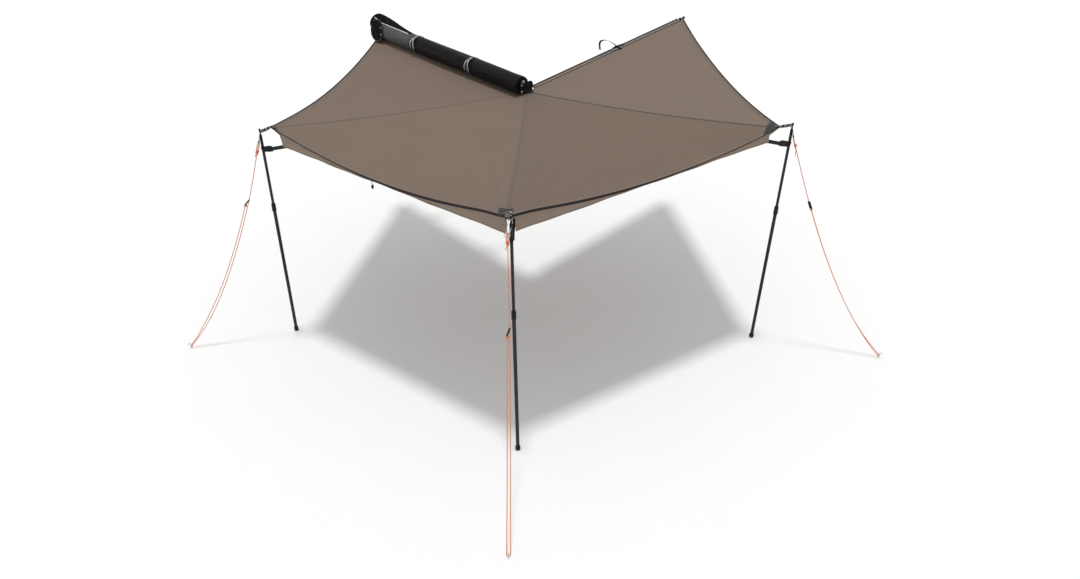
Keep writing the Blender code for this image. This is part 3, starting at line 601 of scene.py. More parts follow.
def shaded(colour: Sequence[float], factor: float) -> tuple[float, ...]:
    """A colour made lighter or darker."""
    return tuple(min(1.0, c * factor) for c in colour)


@dataclass(frozen=True)
class Cloth:
    """A woven finish on the pattern's own place.

    Args:
        name: the finish.
        colour: linear colour.
        thread: width of two threads in metres.
        mottle: how far large soft patches change the colour.
        roughness: the shader's roughness.
        depth: height of the weave's bump in metres.
        sheen: how far loose fibres catch the light.
        rows: places of the stitch rows across a strip, in metres.
        thread_colour: colour of the stitches.
    """

    name: Finish
    colour: tuple[float, float, float]
    thread: float = 0.0012
    mottle: float = 0.10
    roughness: float = 0.88
    depth: float = 0.00025
    sheen: float = 0.12
    rows: tuple[float, ...] = ()
    thread_colour: tuple[float, float, float] = (0.10, 0.085, 0.07)

    def build(self) -> bpy.types.Material:
        """Makes the material: threads cross as sin(u) sin(v), with soft patches and stitch rows.

        Returns:
            The finished material.
        """
        graph = Graph(self.name.value, Roughness=self.roughness, Sheen_Weight=self.sheen, Sheen_Roughness=0.5)
        u, v = graph.pattern()
        turns = 2 * math.pi / self.thread
        waves = [graph.math("SINE", graph.math("MULTIPLY", axis, turns)) for axis in (u, v)]
        weave = graph.math("MULTIPLY", *waves)
        patches = graph.noise(2.2, 4.0)
        fibres = graph.noise(160.0, 2.0, flat=True)
        darker, lighter = (shaded(self.colour, 1 + sign * self.mottle) for sign in (-1, 1))
        tone = graph.blend(patches, darker, lighter)
        worn = graph.math("MULTIPLY", fibres, 0.35)
        tone = graph.blend(worn, tone, shaded(self.colour, 0.82))
        crossing = graph.math("MULTIPLY_ADD", weave, 0.10, 0.10)
        tone = graph.blend(crossing, tone, shaded(self.colour, 0.65))
        height = graph.math("ADD", weave, graph.math("MULTIPLY", fibres, 0.8))
        for place in self.rows:
            near = graph.math("COMPARE", u, place, 0.0006)
            dash = graph.math("LESS_THAN", graph.math("FRACT", graph.math("MULTIPLY", v, 250.0)), 0.68)
            stitch = graph.math("MULTIPLY", near, dash)
            tone = graph.blend(stitch, tone, self.thread_colour)
            height = graph.math("ADD", height, graph.math("MULTIPLY", near, -1.5))
            height = graph.math("ADD", height, graph.math("MULTIPLY", stitch, 3.0))
        return graph.finish(tone, height, self.depth)


@dataclass(frozen=True)
class Coating:
    """A smooth finish for sheeting, nylon, rubber, paint and metal.

    Args:
        name: the finish.
        colour: linear colour.
        roughness: the shader's roughness.
        metallic: how metallic it is.
        grain: lumps in a metre of the fine grain.
        depth: height of the grain's bump in metres.
        scuff: colour of the worn spots.
        worn: how much of the worn spots shows.
        stretch: draws the grain out along an axis, as on a brushed tube.
        specular: how strongly it mirrors.
        far: a second, lighter colour that takes over along +Y, between the two places of the ramp; on the bag
            it paints the sheen of reflected light on the far end.
        ramp: the two places along Y between which the painted sheen takes over.
    """

    name: Finish
    colour: tuple[float, float, float]
    roughness: float = 0.5
    metallic: float = 0.0
    grain: float = 900.0
    depth: float = 0.0001
    scuff: tuple[float, float, float] = (0.12, 0.12, 0.12)
    worn: float = 0.25
    stretch: tuple[float, float, float] = (1.0, 1.0, 1.0)
    specular: float = 0.5
    far: tuple[float, float, float] | None = None
    ramp: tuple[float, float] = (0.0, 1.0)

    def build(self) -> bpy.types.Material:
        """Makes the material: soft tone changes, fine grain and scuffs where two noises meet.

        Returns:
            The finished material.
        """
        graph = Graph(self.name.value, Roughness=self.roughness, Metallic=self.metallic,
                      Specular_IOR_Level=self.specular)
        grain = graph.noise(self.grain, 3.0, self.stretch)
        broad = graph.noise(7.0)
        tone = graph.blend(broad, shaded(self.colour, 0.82), shaded(self.colour, 1.2))
        # Painted sheen: the colour turns lighter along +Y.
        if self.far:
            place = graph.add("ShaderNodeSeparateXYZ", {0: graph.where.outputs["Object"]}).outputs[1]
            span = graph.add("ShaderNodeMapRange", {0: place, 1: self.ramp[0], 2: self.ramp[1]},
                             interpolation_type="SMOOTHSTEP")
            wide = graph.blend(broad, shaded(self.far, 0.88), shaded(self.far, 1.12))
            tone = graph.blend(span.outputs[0], tone, wide)
        spots = graph.math("SMOOTH_MIN", graph.noise(38.0, 5.0), graph.noise(11.0, 2.0), 0.05)
        marks = graph.math("MULTIPLY", graph.math("MAXIMUM", graph.math("SUBTRACT", spots, 0.47), 0.0), 9.0)
        amount = graph.math("MINIMUM", graph.math("MULTIPLY", marks, self.worn), 0.8)
        tone = graph.blend(amount, tone, self.scuff)
        fine = graph.blend(graph.math("MULTIPLY", grain, 0.25), tone, shaded(self.colour, 1.6))
        rough = graph.math("MULTIPLY_ADD", grain, 0.16, self.roughness - 0.08)
        return graph.finish(fine, grain, self.depth, rough)


@dataclass(frozen=True)
class Braid:
    """The plaited finish of a cord, on the pattern's own place.

    Args:
        name: the finish.
        colour: linear colour of the strands.
        fleck: linear colour of the marker strands.
        girth: length round the cord in metres.
    """

    name: Finish
    colour: tuple[float, float, float]
    fleck: tuple[float, float, float]
    girth: float = 0.01885

    def build(self) -> bpy.types.Material:
        """Makes the material: strands run both ways round the cord, as sin(u + v) sin(u - v).

        Returns:
            The finished material.
        """
        graph = Graph(self.name.value, Roughness=0.75, Sheen_Weight=0.2)
        u, v = graph.pattern()
        around = graph.math("MULTIPLY", u, 2 * math.pi * 4 / self.girth)
        along = graph.math("MULTIPLY", v, 2 * math.pi / 0.007)
        one = graph.math("SINE", graph.math("ADD", around, along))
        other = graph.math("SINE", graph.math("SUBTRACT", around, along))
        plait = graph.math("MULTIPLY", one, other)
        fleck = graph.math("MULTIPLY", graph.math("GREATER_THAN", one, 0.93), 0.6)
        fuzz = graph.noise(700.0, 2.0)
        tone = graph.blend(fuzz, shaded(self.colour, 0.8), shaded(self.colour, 1.12))
        # Painted shade: the grooves between the strands are darkened.
        deep = graph.math("MULTIPLY_ADD", plait, -0.14, 0.14)
        tone = graph.blend(deep, tone, shaded(self.colour, 0.45))
        tone = graph.blend(fleck, tone, self.fleck)
        return graph.finish(tone, plait, 0.0003)


FINISHES: tuple[Cloth | Coating | Braid, ...] = (
    Cloth(Finish.CANVAS, (0.204, 0.150, 0.116), mottle=0.05, sheen=0.02),
    # Copies of the one canvas: darker as painted shade for the third panel, lighter as painted light for the
    # fourth.
    Cloth(Finish.CANVAS_PAINTED_SHADE, (0.186, 0.137, 0.104), mottle=0.05, sheen=0.02),
    Cloth(Finish.CANVAS_PAINTED_LIGHT, (0.213, 0.160, 0.124), mottle=0.05, sheen=0.02),
    Cloth(Finish.EDGE, (0.215, 0.178, 0.150), mottle=0.08, sheen=0.02),
    # The band's canvas is lighter than the panels': painted light on its upright faces.
    Cloth(Finish.BAND_PAINTED_LIGHT, (0.300, 0.228, 0.178), mottle=0.06, sheen=0.03),
    Cloth(Finish.SEAM, (0.196, 0.147, 0.115), rows=(0.004, 0.014), mottle=0.06, sheen=0.03),
    Cloth(Finish.HEM, (0.215, 0.162, 0.128), rows=(0.003, 0.019), mottle=0.06, sheen=0.03),
    # Near-black for the dark cords and for painted shade: the strips under the hems, beside the third seam
    # and along the sleeve.
    Cloth(Finish.DARK_CORD_AND_PAINTED_SHADE, (0.016, 0.012, 0.010), thread=0.0016, sheen=0.0),
    Cloth(Finish.PATCH, (0.050, 0.048, 0.048), thread=0.0040, depth=0.0006, rows=(0.006, 0.012), sheen=0.02,
          thread_colour=(0.25, 0.24, 0.23)),
    Cloth(Finish.WEBBING, (0.110, 0.108, 0.108), thread=0.0026, depth=0.0005, rows=(0.003, 0.022), sheen=0.03,
          thread_colour=(0.02, 0.02, 0.02)),
    Cloth(Finish.PALE_WEBBING, (0.480, 0.480, 0.480), thread=0.0024, depth=0.0005),
    # The sheeting turns from near-black to grey towards the far end: painted sheen of reflected light.
    Coating(Finish.SHEETING, (0.008, 0.008, 0.009), 0.42, grain=420.0, depth=0.0003,
            scuff=(0.030, 0.030, 0.031), worn=0.20, specular=0.10, far=(0.105, 0.105, 0.108),
            ramp=(0.66, 0.80)),
    Coating(Finish.LINING, (0.0045, 0.0045, 0.0045), 0.75, grain=500.0, worn=0.05, specular=0.08),
    Coating(Finish.PIPING, (0.74, 0.74, 0.72), 0.55, grain=600.0),
    Coating(Finish.ALLOY, (0.014, 0.014, 0.016), 0.48, 0.2, grain=500.0, depth=0.00005,
            stretch=(1.0, 1.0, 0.06), scuff=(0.10, 0.10, 0.11), worn=0.14, specular=0.3),
    Coating(Finish.COATED, (0.008, 0.008, 0.009), 0.50, 0.1, grain=1100.0, scuff=(0.09, 0.09, 0.09),
            worn=0.14, specular=0.2),
    Coating(Finish.BRIGHT, (0.60, 0.60, 0.62), 0.28, 1.0, grain=700.0, depth=0.00005,
            scuff=(0.30, 0.29, 0.28), worn=0.35, stretch=(1.0, 1.0, 0.15)),
    Coating(Finish.DULLED, (0.040, 0.040, 0.042), 0.42, 0.9, grain=700.0, depth=0.00005,
            scuff=(0.14, 0.14, 0.14)),
    Coating(Finish.NYLON, (0.008, 0.008, 0.009), 0.52, grain=1300.0, scuff=(0.06, 0.06, 0.06), worn=0.15,
            specular=0.2),
    Coating(Finish.RUBBER, (0.010, 0.010, 0.010), 0.80, grain=700.0, depth=0.0002, scuff=(0.09, 0.08, 0.07),
            worn=0.4, specular=0.2),
    Braid(Finish.CORD, (0.80, 0.20, 0.055), (0.86, 0.55, 0.40)),
)
MATERIALS: dict[Finish, bpy.types.Material] = {f.name: f.build() for f in FINISHES}


def settle(obj: bpy.types.Object, body: str, nodes: Sequence[str] = ()) -> bpy.types.Object:
    """Lets a piece ride on a body and the nodes it stands for.

    Args:
        obj: the piece.
        body: the body that carries it.
        nodes: the frame's nodes that it replaces.

    Returns:
        The same piece.
    """
    if nodes:
        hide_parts(*nodes)
    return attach(obj, body)


def dress(finish: Finish, slot: Slot, *nodes: str) -> None:
    """Gives nodes of the frame a finish of their own.

    Args:
        finish: the finish that they take.
        slot: their material slot in the record; not used.
        nodes: the nodes' names.
    """
    for obj in (bpy.data.objects[node] for node in nodes):
        for holder in obj.material_slots:
            holder.link = "OBJECT"
            holder.material = MATERIALS[finish]


@dataclass
class Canopy:
    """Four sagging panels with hem strips, hanging bands and seam tapes.

    Args:
        layout: where the awning's parts stand.
        columns: points across a panel.
        rows: points from the hub out to the hem.
        thickness: thickness of the cloth.
        hem_width: width of the turned hem.
        tape_width: width of a seam's tape.
        tones: each panel's finish; the third panel takes the canvas darkened as painted shade and the fourth
            the canvas lightened as painted light.
        hem_wave: height of the small waves beside the hem.
        corner_fan: height of the creases that fan out from the corners.
        ripple: height of the soft ripples.
        crown_ripple: height of the gathers near the hub.
        corner_droop: how far the second corner droops.
        hem_cords: radius and lift of the dark cord in each panel's hem, whose near-black colour also paints
            the shade line at the hem's edge.
        sleeve_cord: radius of the cord in the sleeve's outer edge.
    """

    layout: Layout
    columns: int = 97
    rows: int = 73
    thickness: float = 0.0010
    hem_width: float = 0.022
    tape_width: float = 0.018
    tones: tuple[Finish, ...] = (Finish.CANVAS, Finish.CANVAS, Finish.CANVAS_PAINTED_SHADE, Finish.CANVAS_PAINTED_LIGHT)
    hem_wave: float = 0.0046
    corner_fan: float = 0.020
    ripple: float = 0.0035
    crown_ripple: float = 0.0022
    corner_droop: float = 0.016
    hem_cords: tuple[tuple[float, float], ...] = (
        (0.0052, 0.0016), (0.0030, -0.0022), (0.0030, -0.0022), (0.0052, 0.0016))
    sleeve_cord: float = 0.0060

    def surface(self, k: int, s: Array | float, v: Array | float) -> Array:
        """A panel's surface.

        A point is apex + v (edge - apex), with the edge run from one corner to the next by s. It is
        lowered by the hem's sag times v^1.6 4 s (1 - s), by the seams' sags times 4 v (1 - v), and
        creased near its hem and corners.

        Args:
            k: number of the panel, from 0.
            s: place along the hem from one corner to the next, 0 to 1.
            v: place from the hub out to the hem, 0 to 1.

        Returns:
            The points.
        """
        layout = self.layout
        s, v = np.broadcast_arrays(s, v)
        apex = layout.apex()
        start, end = layout.seam_end(k - 1), layout.seam_end(k)
        edge = start + (end - start) * s[..., None]
        points = apex + (edge - apex) * v[..., None]
        sag = layout.hem_sags[k] * v ** 1.6 * 4 * s * (1 - s)
        sag = sag + (layout.seam_sags[k] * (1 - s) + layout.seam_sags[k + 1] * s) * 4 * v * (1 - v)
        points[..., 2] += self.creases(k, s, v) - sag
        return points

    def creases(self, k: int, s: Array, v: Array) -> Array:
        """Height of the small creases: hem waves, corner fans, soft ripples and the second corner's droop.

        Args:
            k: number of the panel, from 0.
            s: place along the hem, 0 to 1.
            v: place from the hub out to the hem, 0 to 1.

        Returns:
            How far each point is lifted.
        """
        inside = 4 * s * (1 - s)
        hem = self.hem_wave * np.sin(2 * math.pi * (v - 0.1 * s) / 0.030) * hump(v, 0.89, 0.052) * inside
        hem = hem * (0.35 + 0.65 * hump(s, 0.55 if k == 1 else 0.5, 0.22))
        fans = 0.0
        for corner, angle in ((s, 0.0), (1 - s, 1.1)):
            away = np.sqrt((corner * 2.2) ** 2 + ((1 - v) * 1.7) ** 2) + 1e-6
            facing = np.arctan2((1 - v) * 1.7, corner * 2.2 + 1e-6)
            fan = np.sin(facing * 15.0 + angle + k) * away * np.exp(-((away / 0.42) ** 2))
            fans = fans + self.corner_fan * fan * np.clip(corner * 14, 0, 1)
        soft = np.sin(7.0 * s + 5.0 * v + k) * np.sin(4.0 * s - 9.0 * v + 2 * k)
        crown = self.crown_ripple * np.sin(s * 31 + k) * hump(v, 0.16, 0.10) * inside
        droop = 0.0
        if k in (1, 2):
            corner = 1 - s if k == 1 else s
            near = hump(corner * self.flat_area(k)[0], 0.0, 0.13) * hump((1 - v) * 2.0, 0.0, 0.10)
            droop = -self.corner_droop * near
        return droop + hem + fans + (self.ripple * soft * v * (1.05 - v) * 2 + crown) * inside

    def fan(self, obj: bpy.types.Object, k: int, slot: Slot = Slot.CANVAS,
            spot: Array | None = None) -> bpy.types.Object:
        """Lets a piece fold like a fan between two bodies, by each point's angle round the hub.

        Args:
            obj: the piece.
            k: number of the panel that it belongs to.
            slot: its material slot in the record; not used.
            spot: one point read in place of all the piece's points, as for a small hanging one.

        Returns:
            The same piece.
        """
        layout = self.layout
        ends = [layout.seam_end(k - 1), layout.seam_end(k)]
        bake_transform(obj)
        co = np.empty(len(obj.data.vertices) * 3)
        obj.data.vertices.foreach_get("co", co)
        co = co.reshape(-1, 3) if spot is None else np.repeat(spot[None], len(co) // 3, 0)
        return obj

    def drape(self, points: Array, lift: float) -> Array:
        """Sets points' heights to the canopy's own over the same spot, plus a lift.

        A spot is apex + a (start - apex) + b (end - start) in plan, so that v = a and s = b / a.

        Args:
            points: points over the canopy.
            lift: how far they stand above it.

        Returns:
            The points at their new height.
        """
        apex = self.layout.apex()
        out = points.reshape(-1, 3).copy()
        for k in range(4):
            start, end = self.layout.seam_end(k - 1), self.layout.seam_end(k)
            sides = np.column_stack([(start - apex)[:2], (end - start)[:2]])
            a, b = np.linalg.solve(sides, (out[:, :2] - apex[:2]).T)
            inside = (a > 0) & (b >= -1e-9) & (b <= a * (1 + 1e-9))
            if inside.any():
                s = np.clip(b[inside] / a[inside], 0.0, 1.0)
                out[inside, 2] = self.surface(k, s, np.minimum(a[inside], 1.0))[:, 2] + lift
        return out.reshape(points.shape)

    def flat_area(self, k: int) -> tuple[float, float, float]:
        """Width along the hem, depth from the hub and area of a panel's flat cut.

        Args:
            k: number of the panel, from 0.

        Returns:
            Width, depth and area.
        """
        apex, start, end = self.layout.apex(), self.layout.seam_end(k - 1), self.layout.seam_end(k)
        width = float(np.linalg.norm(end - start))
        area = float(np.linalg.norm(np.cross(start - apex, end - apex)) / 2)
        return width, 2 * area / width, area

    def panel(self, k: int) -> bpy.types.Object:
        """One panel with its pattern measured out from the hub.

        Args:
            k: number of the panel, from 0.

        Returns:
            The finished object.
        """
        width, depth, _ = self.flat_area(k)
        gap = 0.0004 / width
        s = np.linspace(gap, 1 - gap, self.columns)[None, :]
        v = np.linspace(self.layout.apex_start, 1.0, self.rows)[:, None]
        points = self.surface(k, s, v)
        pattern = combined((s - 0.5) * v * width, v * depth)
        # The third panel's canvas carries painted shade and the fourth's carries painted light.
        piece = Piece(f"awning_panel_{k + 1}", [self.tones[k]])
        obj = piece.grid(points, pattern).build(self.thickness, 60.0, up=True)
        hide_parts(f"canopy_{k + 1}")
        return self.fan(obj, k)

    def hem_line(self, k: int, count: int, v: float = 1.0) -> Array:
        """Points along a panel's hem, or along a line nearer the hub where v is below 1."""
        gap = 0.0006
        return self.surface(k, np.linspace(gap, 1 - gap, count), v)

    def outward(self, points: Array) -> Array:
        """Level directions away from the hub, one for each point."""
        return unit((points - self.layout.apex()) * [1, 1, 0])

    def hem(self, k: int) -> bpy.types.Object:
        """The turned hem: a strip over the panel's edge, rolled down round it.

        Args:
            k: number of the panel, from 0.

        Returns:
            The finished object.
        """
        count = self.columns
        depth = self.flat_area(k)[1]
        rows = [self.hem_line(k, count, 1.0 - d / depth) for d in (self.hem_width, self.hem_width / 2, 0.004)]
        for row, lift in zip(rows, (0.0009, 0.0016, 0.0016)):
            row[:, 2] += lift
        edge = self.hem_line(k, count)
        out = self.outward(edge)
        for along, drop in ((0.0016, 0.0002), (0.0020, -0.0035), (-0.0005, -0.0065)):
            row = edge + out * along
            row[:, 2] += drop
            rows.append(row)
        grid = np.stack(rows, 1)
        piece = Piece(f"awning_hem_{k + 1}", [Finish.HEM, Finish.DARK_CORD_AND_PAINTED_SHADE]).grid(grid)
        # A dark cord in the hem's edge; its near-black colour also paints the shade line there.
        thick, lift = self.hem_cords[k]
        piece.tube(edge + out * (thick + 0.0012) + [0, 0, lift], thick, 10, slot=1)
        return self.fan(piece.build(0.0010, 70.0), k)

    def band_shares(self, k: int) -> Array:
        """Places along the hem, with a close pair at each end's cut.

        Args:
            k: number of the panel, from 0.

        Returns:
            The places in rising order, 0 to 1.
        """
        chord = self.flat_area(k)[0]
        pair = np.array([0.0, 0.002])
        first, last = self.layout.band_cuts_after[k], self.layout.band_cuts_before[k]
        ends = [(first + pair) / chord] * (first > 0) + [1 - (last + pair) / chord] * (last > 0)
        return np.sort(np.concatenate([np.linspace(0.0006, 0.9994, self.columns), *ends]))

    def band(self, k: int) -> bpy.types.Object:
        """The band that hangs from the hem down to a straight line, cut away at the corners.

        A point is the hem point, drawn in by a little tuck, lowered by t times the band's depth and
        swung out and in by small waves that grow with t. A near-black strip of painted shade under the
        hem, standing in for the shade of the hem's overhang, gets wider towards the second corner.

        Args:
            k: number of the panel, from 0.

        Returns:
            The finished object.
        """
        layout = self.layout
        s = self.band_shares(k)
        edge = self.surface(k, s, 1.0)
        out = self.outward(edge)
        foot = layout.band_feet[k] + (layout.band_feet[k + 1] - layout.band_feet[k]) * s
        foot = np.minimum(foot, edge[:, 2] - 0.016)
        for away, cut in ((s, layout.band_cuts_after[k]), (1 - s, layout.band_cuts_before[k])):
            if cut:
                away = away * self.flat_area(k)[0]
                slope = (layout.band_cut_depth - layout.band_end_depth) / cut
                high = edge[:, 2] - layout.band_end_depth - slope * away
                foot = np.where(away < cut + 0.001, np.maximum(foot, high), foot)
        drop = edge[:, 2] - foot
        rows = []
        for t in np.linspace(0.0, 1.0, 13):
            tuck = -0.004 - 0.004 * hump(t, 0.15, 0.2)
            wave = 0.0022 * t * np.sin(s * 46 + k) + 0.003 * t * np.sin(s * 17 + 2 * k)
            ends = np.clip(np.minimum(s, 1 - s) * 12, 0, 1)
            row = edge + out * (tuck + wave * ends)[:, None]
            row[:, 2] = edge[:, 2] - 0.005 - (drop - 0.005) * t
            rows.append(row)
        grid = np.array(rows)
        piece = Piece(f"awning_band_{k + 1}", [Finish.BAND_PAINTED_LIGHT, Finish.DARK_CORD_AND_PAINTED_SHADE]).grid(grid)
        # Painted shade: a near-black strip under the hem stands in for the shade that the hem's overhang
        # casts on the band.
        shade_widening = {1: ease((s - 0.14) / 0.55), 2: ease((0.80 - s) / 0.55)}.get(k, 0.0 * s)
        wide = 0.0012 + 0.0125 * shade_widening
        tape = [edge - out * 0.0002 + [0, 0, -0.0062], edge + out * 0.0008]
        tape[1][:, 2] -= 0.0062 + wide
        piece.grid(np.array(tape), slot=1)
        piece.grid(np.array([grid[-1] + out * 0.0012 + [0, 0, z] for z in (0.0085, 0.0005)]))
        return self.fan(piece.build(0.0008, 60.0), k)

    def seam_tape(self, k: int) -> None:
        """The tape over the seam between two panels, bent over the ridge and creased lightly.

        Args:
            k: number of the panel before the seam, from 0.
        """
        v = np.linspace(0.03, 0.999, 90)
        rows = []
        for side, share in ((-1, 1.0), (-1, 0.5), (0, 0.0), (1, 0.5), (1, 1.0)):
            panel = k if side < 0 else k + 1
            chord = self.flat_area(panel)[0]
            s = self.tape_width / 2 * share / (chord * v)
            row = self.surface(panel, 1 - s if side < 0 else s, v)
            row[:, 2] += 0.0014
            rows.append(row)
        grid = np.stack(rows, 1)
        grid[:, 2, 2] += 0.0006
        piece = Piece(f"awning_seam_{k + 1}", [Finish.SEAM, Finish.DARK_CORD_AND_PAINTED_SHADE]).grid(grid)
        # Painted shade: a near-black strip beside the third seam stands in for the shade of the fold there.
        if k == 2:
            chord = self.flat_area(k)[0]
            fold = [self.surface(k, 1 - d / (chord * v), v) + [0, 0, 0.0012] for d in (0.0095, 0.0135)]
            piece.grid(np.stack(fold, 1), slot=1)
        settle(piece.build(0.0010, 80.0, up=True), f"arm_{k + 1}")

    def sleeve(self) -> None:
        """The sleeve round the last arm: flat on top beyond the canopy's edge, with a corded outer edge.

        Its section is a closed line whose top follows the edge and whose foot follows the arm.
        """
        layout = self.layout
        place = layout.arm(3)
        along = np.linspace(0.10, layout.canopy_reach - 0.020, 90)
        edge, foot = layout.last_arm_section(along)
        edge = edge - 0.0012
        foot = foot - 0.004
        wide = layout.arm_width / 2 + 0.0035
        section = [(0.003, 1.0), (-0.014, 1.0), (-0.030, 0.99), (-0.041, 0.96), (-0.0425, 0.90),
                   (-0.030, 0.80), (-wide - 0.002, 0.55), (-wide, 0.15), (-wide + 0.005, 0.0),
                   (wide - 0.005, 0.0), (wide, 0.15), (wide - 0.002, 0.50), (0.006, 0.92)]
        x, share = np.array(section).T
        pucker = 0.0012 * np.sin(along * 95)[:, None] * np.sin(np.arange(len(x)))
        rows = combined(x + pucker, along[:, None], foot[:, None] + (edge - foot)[:, None] * share)
        piece = Piece("awning_sleeve", [Finish.EDGE, Finish.DARK_CORD_AND_PAINTED_SHADE]).grid(moved(place, rows), wrap=True)
        # A dark cord along the outer edge; its near-black colour also paints the shade along the sleeve's
        # outer side.
        cord = combined(-0.0450, along, foot + (edge - foot) * 0.99)
        piece.tube(moved(place, cord), self.sleeve_cord, 10, slot=1)
        # Painted shade: a near-black line along the canopy's edge stands in for the shaded gap between sleeve
        # and canopy.
        line = [combined(at, along, edge + 0.0026) for at in (-0.0010, 0.0060)]
        piece.grid(moved(place, np.stack(line, 1)), slot=1)
        settle(piece.build(0.0008, 60.0), "arm_4")

    def toggle(self) -> None:
        """The cord lock that hangs from the second panel's hem on a short loop."""
        spot = self.surface(1, 0.462, 1.0)
        out = self.outward(spot)
        top = spot + out * 0.004 + [0, 0, -0.010]
        piece = Piece("hem_toggle", [Finish.NYLON])
        t = circle(20)
        side = np.cross(out, (0, 0, 1))
        loop = top + np.outer(np.sin(t) * 0.006, side) + np.outer(np.cos(t) * 0.022 - 0.024, (0, 0, 1))
        piece.tube(loop, 0.0012, 8, closed=True)
        place = placed(side, out, np.array([0, 0, 1]), top + [0, 0, -0.058])
        body = [(0.006, 0.0), (0.009, 0.002), (0.009, 0.016), (0.0075, 0.019), (0.005, 0.021)]
        plunger = [(0.004, -0.009), (0.0055, -0.008), (0.0055, -0.0005), (0.0045, -0.0002)]
        piece.lathe(place, body, 20).lathe(place, plunger, 16)
        self.fan(piece.build(), 1, Slot.NYLON, spot)

    def build(self) -> None:
        """Makes every panel with its hem and band, the seam tapes, the sleeve and the toggle."""
        for k in range(4):
            panel, hem, band = self.panel(k), self.hem(k), self.band(k)
            width, depth, area = self.flat_area(k)
        for k in range(3):
            self.seam_tape(k)
        self.sleeve()
        self.toggle()
        log.info("canopy: 4 panels")


@dataclass
class Bag:
    """The rolled-up bag along the root edge, with its flap, straps and buckles.

    Args:
        layout: where the awning's parts stand.
        near: near end of the centre line from the hub pin.
        far: far end of the centre line from the hub pin.
        radius: radius of the roll.
        wall: thickness of the cover at the mouth.
        depth: how far the mouth is hollow.
        flap_rise: how far the flap stands up at the far end.
        hood_start: share of the length at which the hood begins to rise.
        hood_rise: how far the hood stands up at the far end.
        flap_start: share of the length at which the flap begins to rise.
        strap_places: share of the length at each strap.
        strap_width: width of the straps.
        buckle_side: where the buckles sit round the roll.
        panel_radius: radius of the end panel.
        panel_thick: thickness of the end panel.
        panel_sewn: how deep its seam sinks into the roll.
        panel_side: where the end panel lies round the roll.
        flap_angle: where the flap stands round the roll, from +X towards +Z.
        hood_angle: where the hood stands round the roll.
        crown_spread: how wide flap and hood are, as an angle in radians.
        seam_angle: where the cover's long seam lies.
        layer_turns: how many turns the rolled layers make.
        piping_span: shares of the length between which the flap's piping runs.
        piping_angle: where the flap's piping begins round the roll.
    """

    layout: Layout
    near: tuple[float, float, float] = (-0.075, -0.020, 0.118)
    far: tuple[float, float, float] = (-0.0635, 1.970, 0.101)
    radius: float = 0.073
    wall: float = 0.009
    depth: float = 0.110
    flap_rise: float = 0.060
    hood_start: float = 0.92
    hood_rise: float = 0.046
    flap_start: float = 0.71
    strap_places: tuple[float, ...] = (0.30, 0.678)
    strap_width: float = 0.025
    buckle_side: float = -44.0
    panel_radius: float = 0.097
    panel_thick: float = 0.004
    panel_sewn: float = 0.0025
    panel_side: float = 165.0
    flap_angle: float = 66.0
    hood_angle: float = 112.0
    crown_spread: float = 0.42
    seam_angle: float = 150.0
    layer_turns: float = 3.4
    piping_span: tuple[float, float] = (0.74, 0.990)
    piping_angle: float = 104.0

    @property
    def length(self) -> float:
        """Length of the bag along the rail."""
        return self.far[1] - self.near[1]

    def middle(self, share: Array | float) -> Array:
        """The centre line from the near end at 0 to the far end at 1."""
        near, far = self.layout.from_hub(*self.near), self.layout.from_hub(*self.far)
        return near + (far - near) * np.asarray(share)[..., None]

    def section(self, share: Array | float, t: Array, radius: Array | float) -> Array:
        """Points middle + radius (cos t, 0, sin t), one row of angles for each share."""
        return self.middle(share)[..., None, :] + around_y(radius, t)

    def skin(self, share: Array, t: Array) -> Array:
        """The cover's radius: the roll, its lifted flap, long folds and a waist at each strap.

        Args:
            share: places along the bag, 0 to 1.
            t: angles round it.

        Returns:
            The radius at each point.
        """
        u, a = share[:, None], t[None, :]
        off = wrapped(a - math.radians(self.flap_angle))
        rise = self.flap_rise * ease((u - self.flap_start) / (1 - self.flap_start))
        flap = rise * np.exp(-(np.abs(off / self.crown_spread) ** 1.7))
        hood = self.hood_rise * ease((u - self.hood_start) / (1 - self.hood_start))
        hood = hood * hump(wrapped(a - math.radians(self.hood_angle)), 0.0, self.crown_spread)
        flap = np.maximum(flap, hood)
        waist = sum(hump(u, place, 0.012) for place in self.strap_places)
        folds = 0.0011 * np.sin(5 * a + 9 * u) + 0.0007 * np.sin(11 * a - 23 * u) * np.sin(40 * u)
        folds = folds + 0.0024 * np.sin(17 * a) * hump(u, 0.004, 0.035)
        seam = 0.0016 * hump(wrapped(a - math.radians(self.seam_angle)), 0.0, 0.03)
        return self.radius - 0.0022 + folds * (1 - 0.8 * waist) + flap + seam - 0.0014 * waist

    def cover(self) -> None:
        """The cover, rolled in at its near end, open at its far end with a lined mouth."""
        t = circle(96)
        share = np.linspace(0.0, 1.0, 181)
        skin = self.skin(share, t)
        near = [self.section(c, t, skin[0] * g) for c, g in ((0.0008, 0.45), (0.0, 0.9), (0.0004, 0.97))]
        grid = np.concatenate([np.array(near), self.section(share, t, skin)[1:]])
        mouth = [(1.0, 0.0035)] + [(c, self.wall) for c in (0.9985, 0.985, 1 - self.depth / self.length)]
        inner = [self.section(c, t, np.minimum(skin[-1], self.radius) - w) for c, w in mouth]
        along = np.append(share, 1.0)[2:, None]
        degrees = np.degrees(t)
        dark = (along > 0.73) & (degrees > 58) & (degrees < 103 + 60 * ease((along - 0.93) / 0.07))
        slots = np.zeros((len(grid), len(t)), int)
        slots[-len(dark):] = dark
        piece = Piece("bag_cover", [Finish.SHEETING, Finish.LINING])
        piece.grid(np.concatenate([grid, np.array(inner[:1])]), wrap=True, slot=slots)
        piece.grid(np.array(inner), wrap=True, slot=1)
        ring = np.arange(len(t))
        piece.caps += [(ring, 0), (piece.count - len(t) + ring, 1)]
        settle(piece.build(smooth_angle=70.0), "frame", ["bag_roll"])

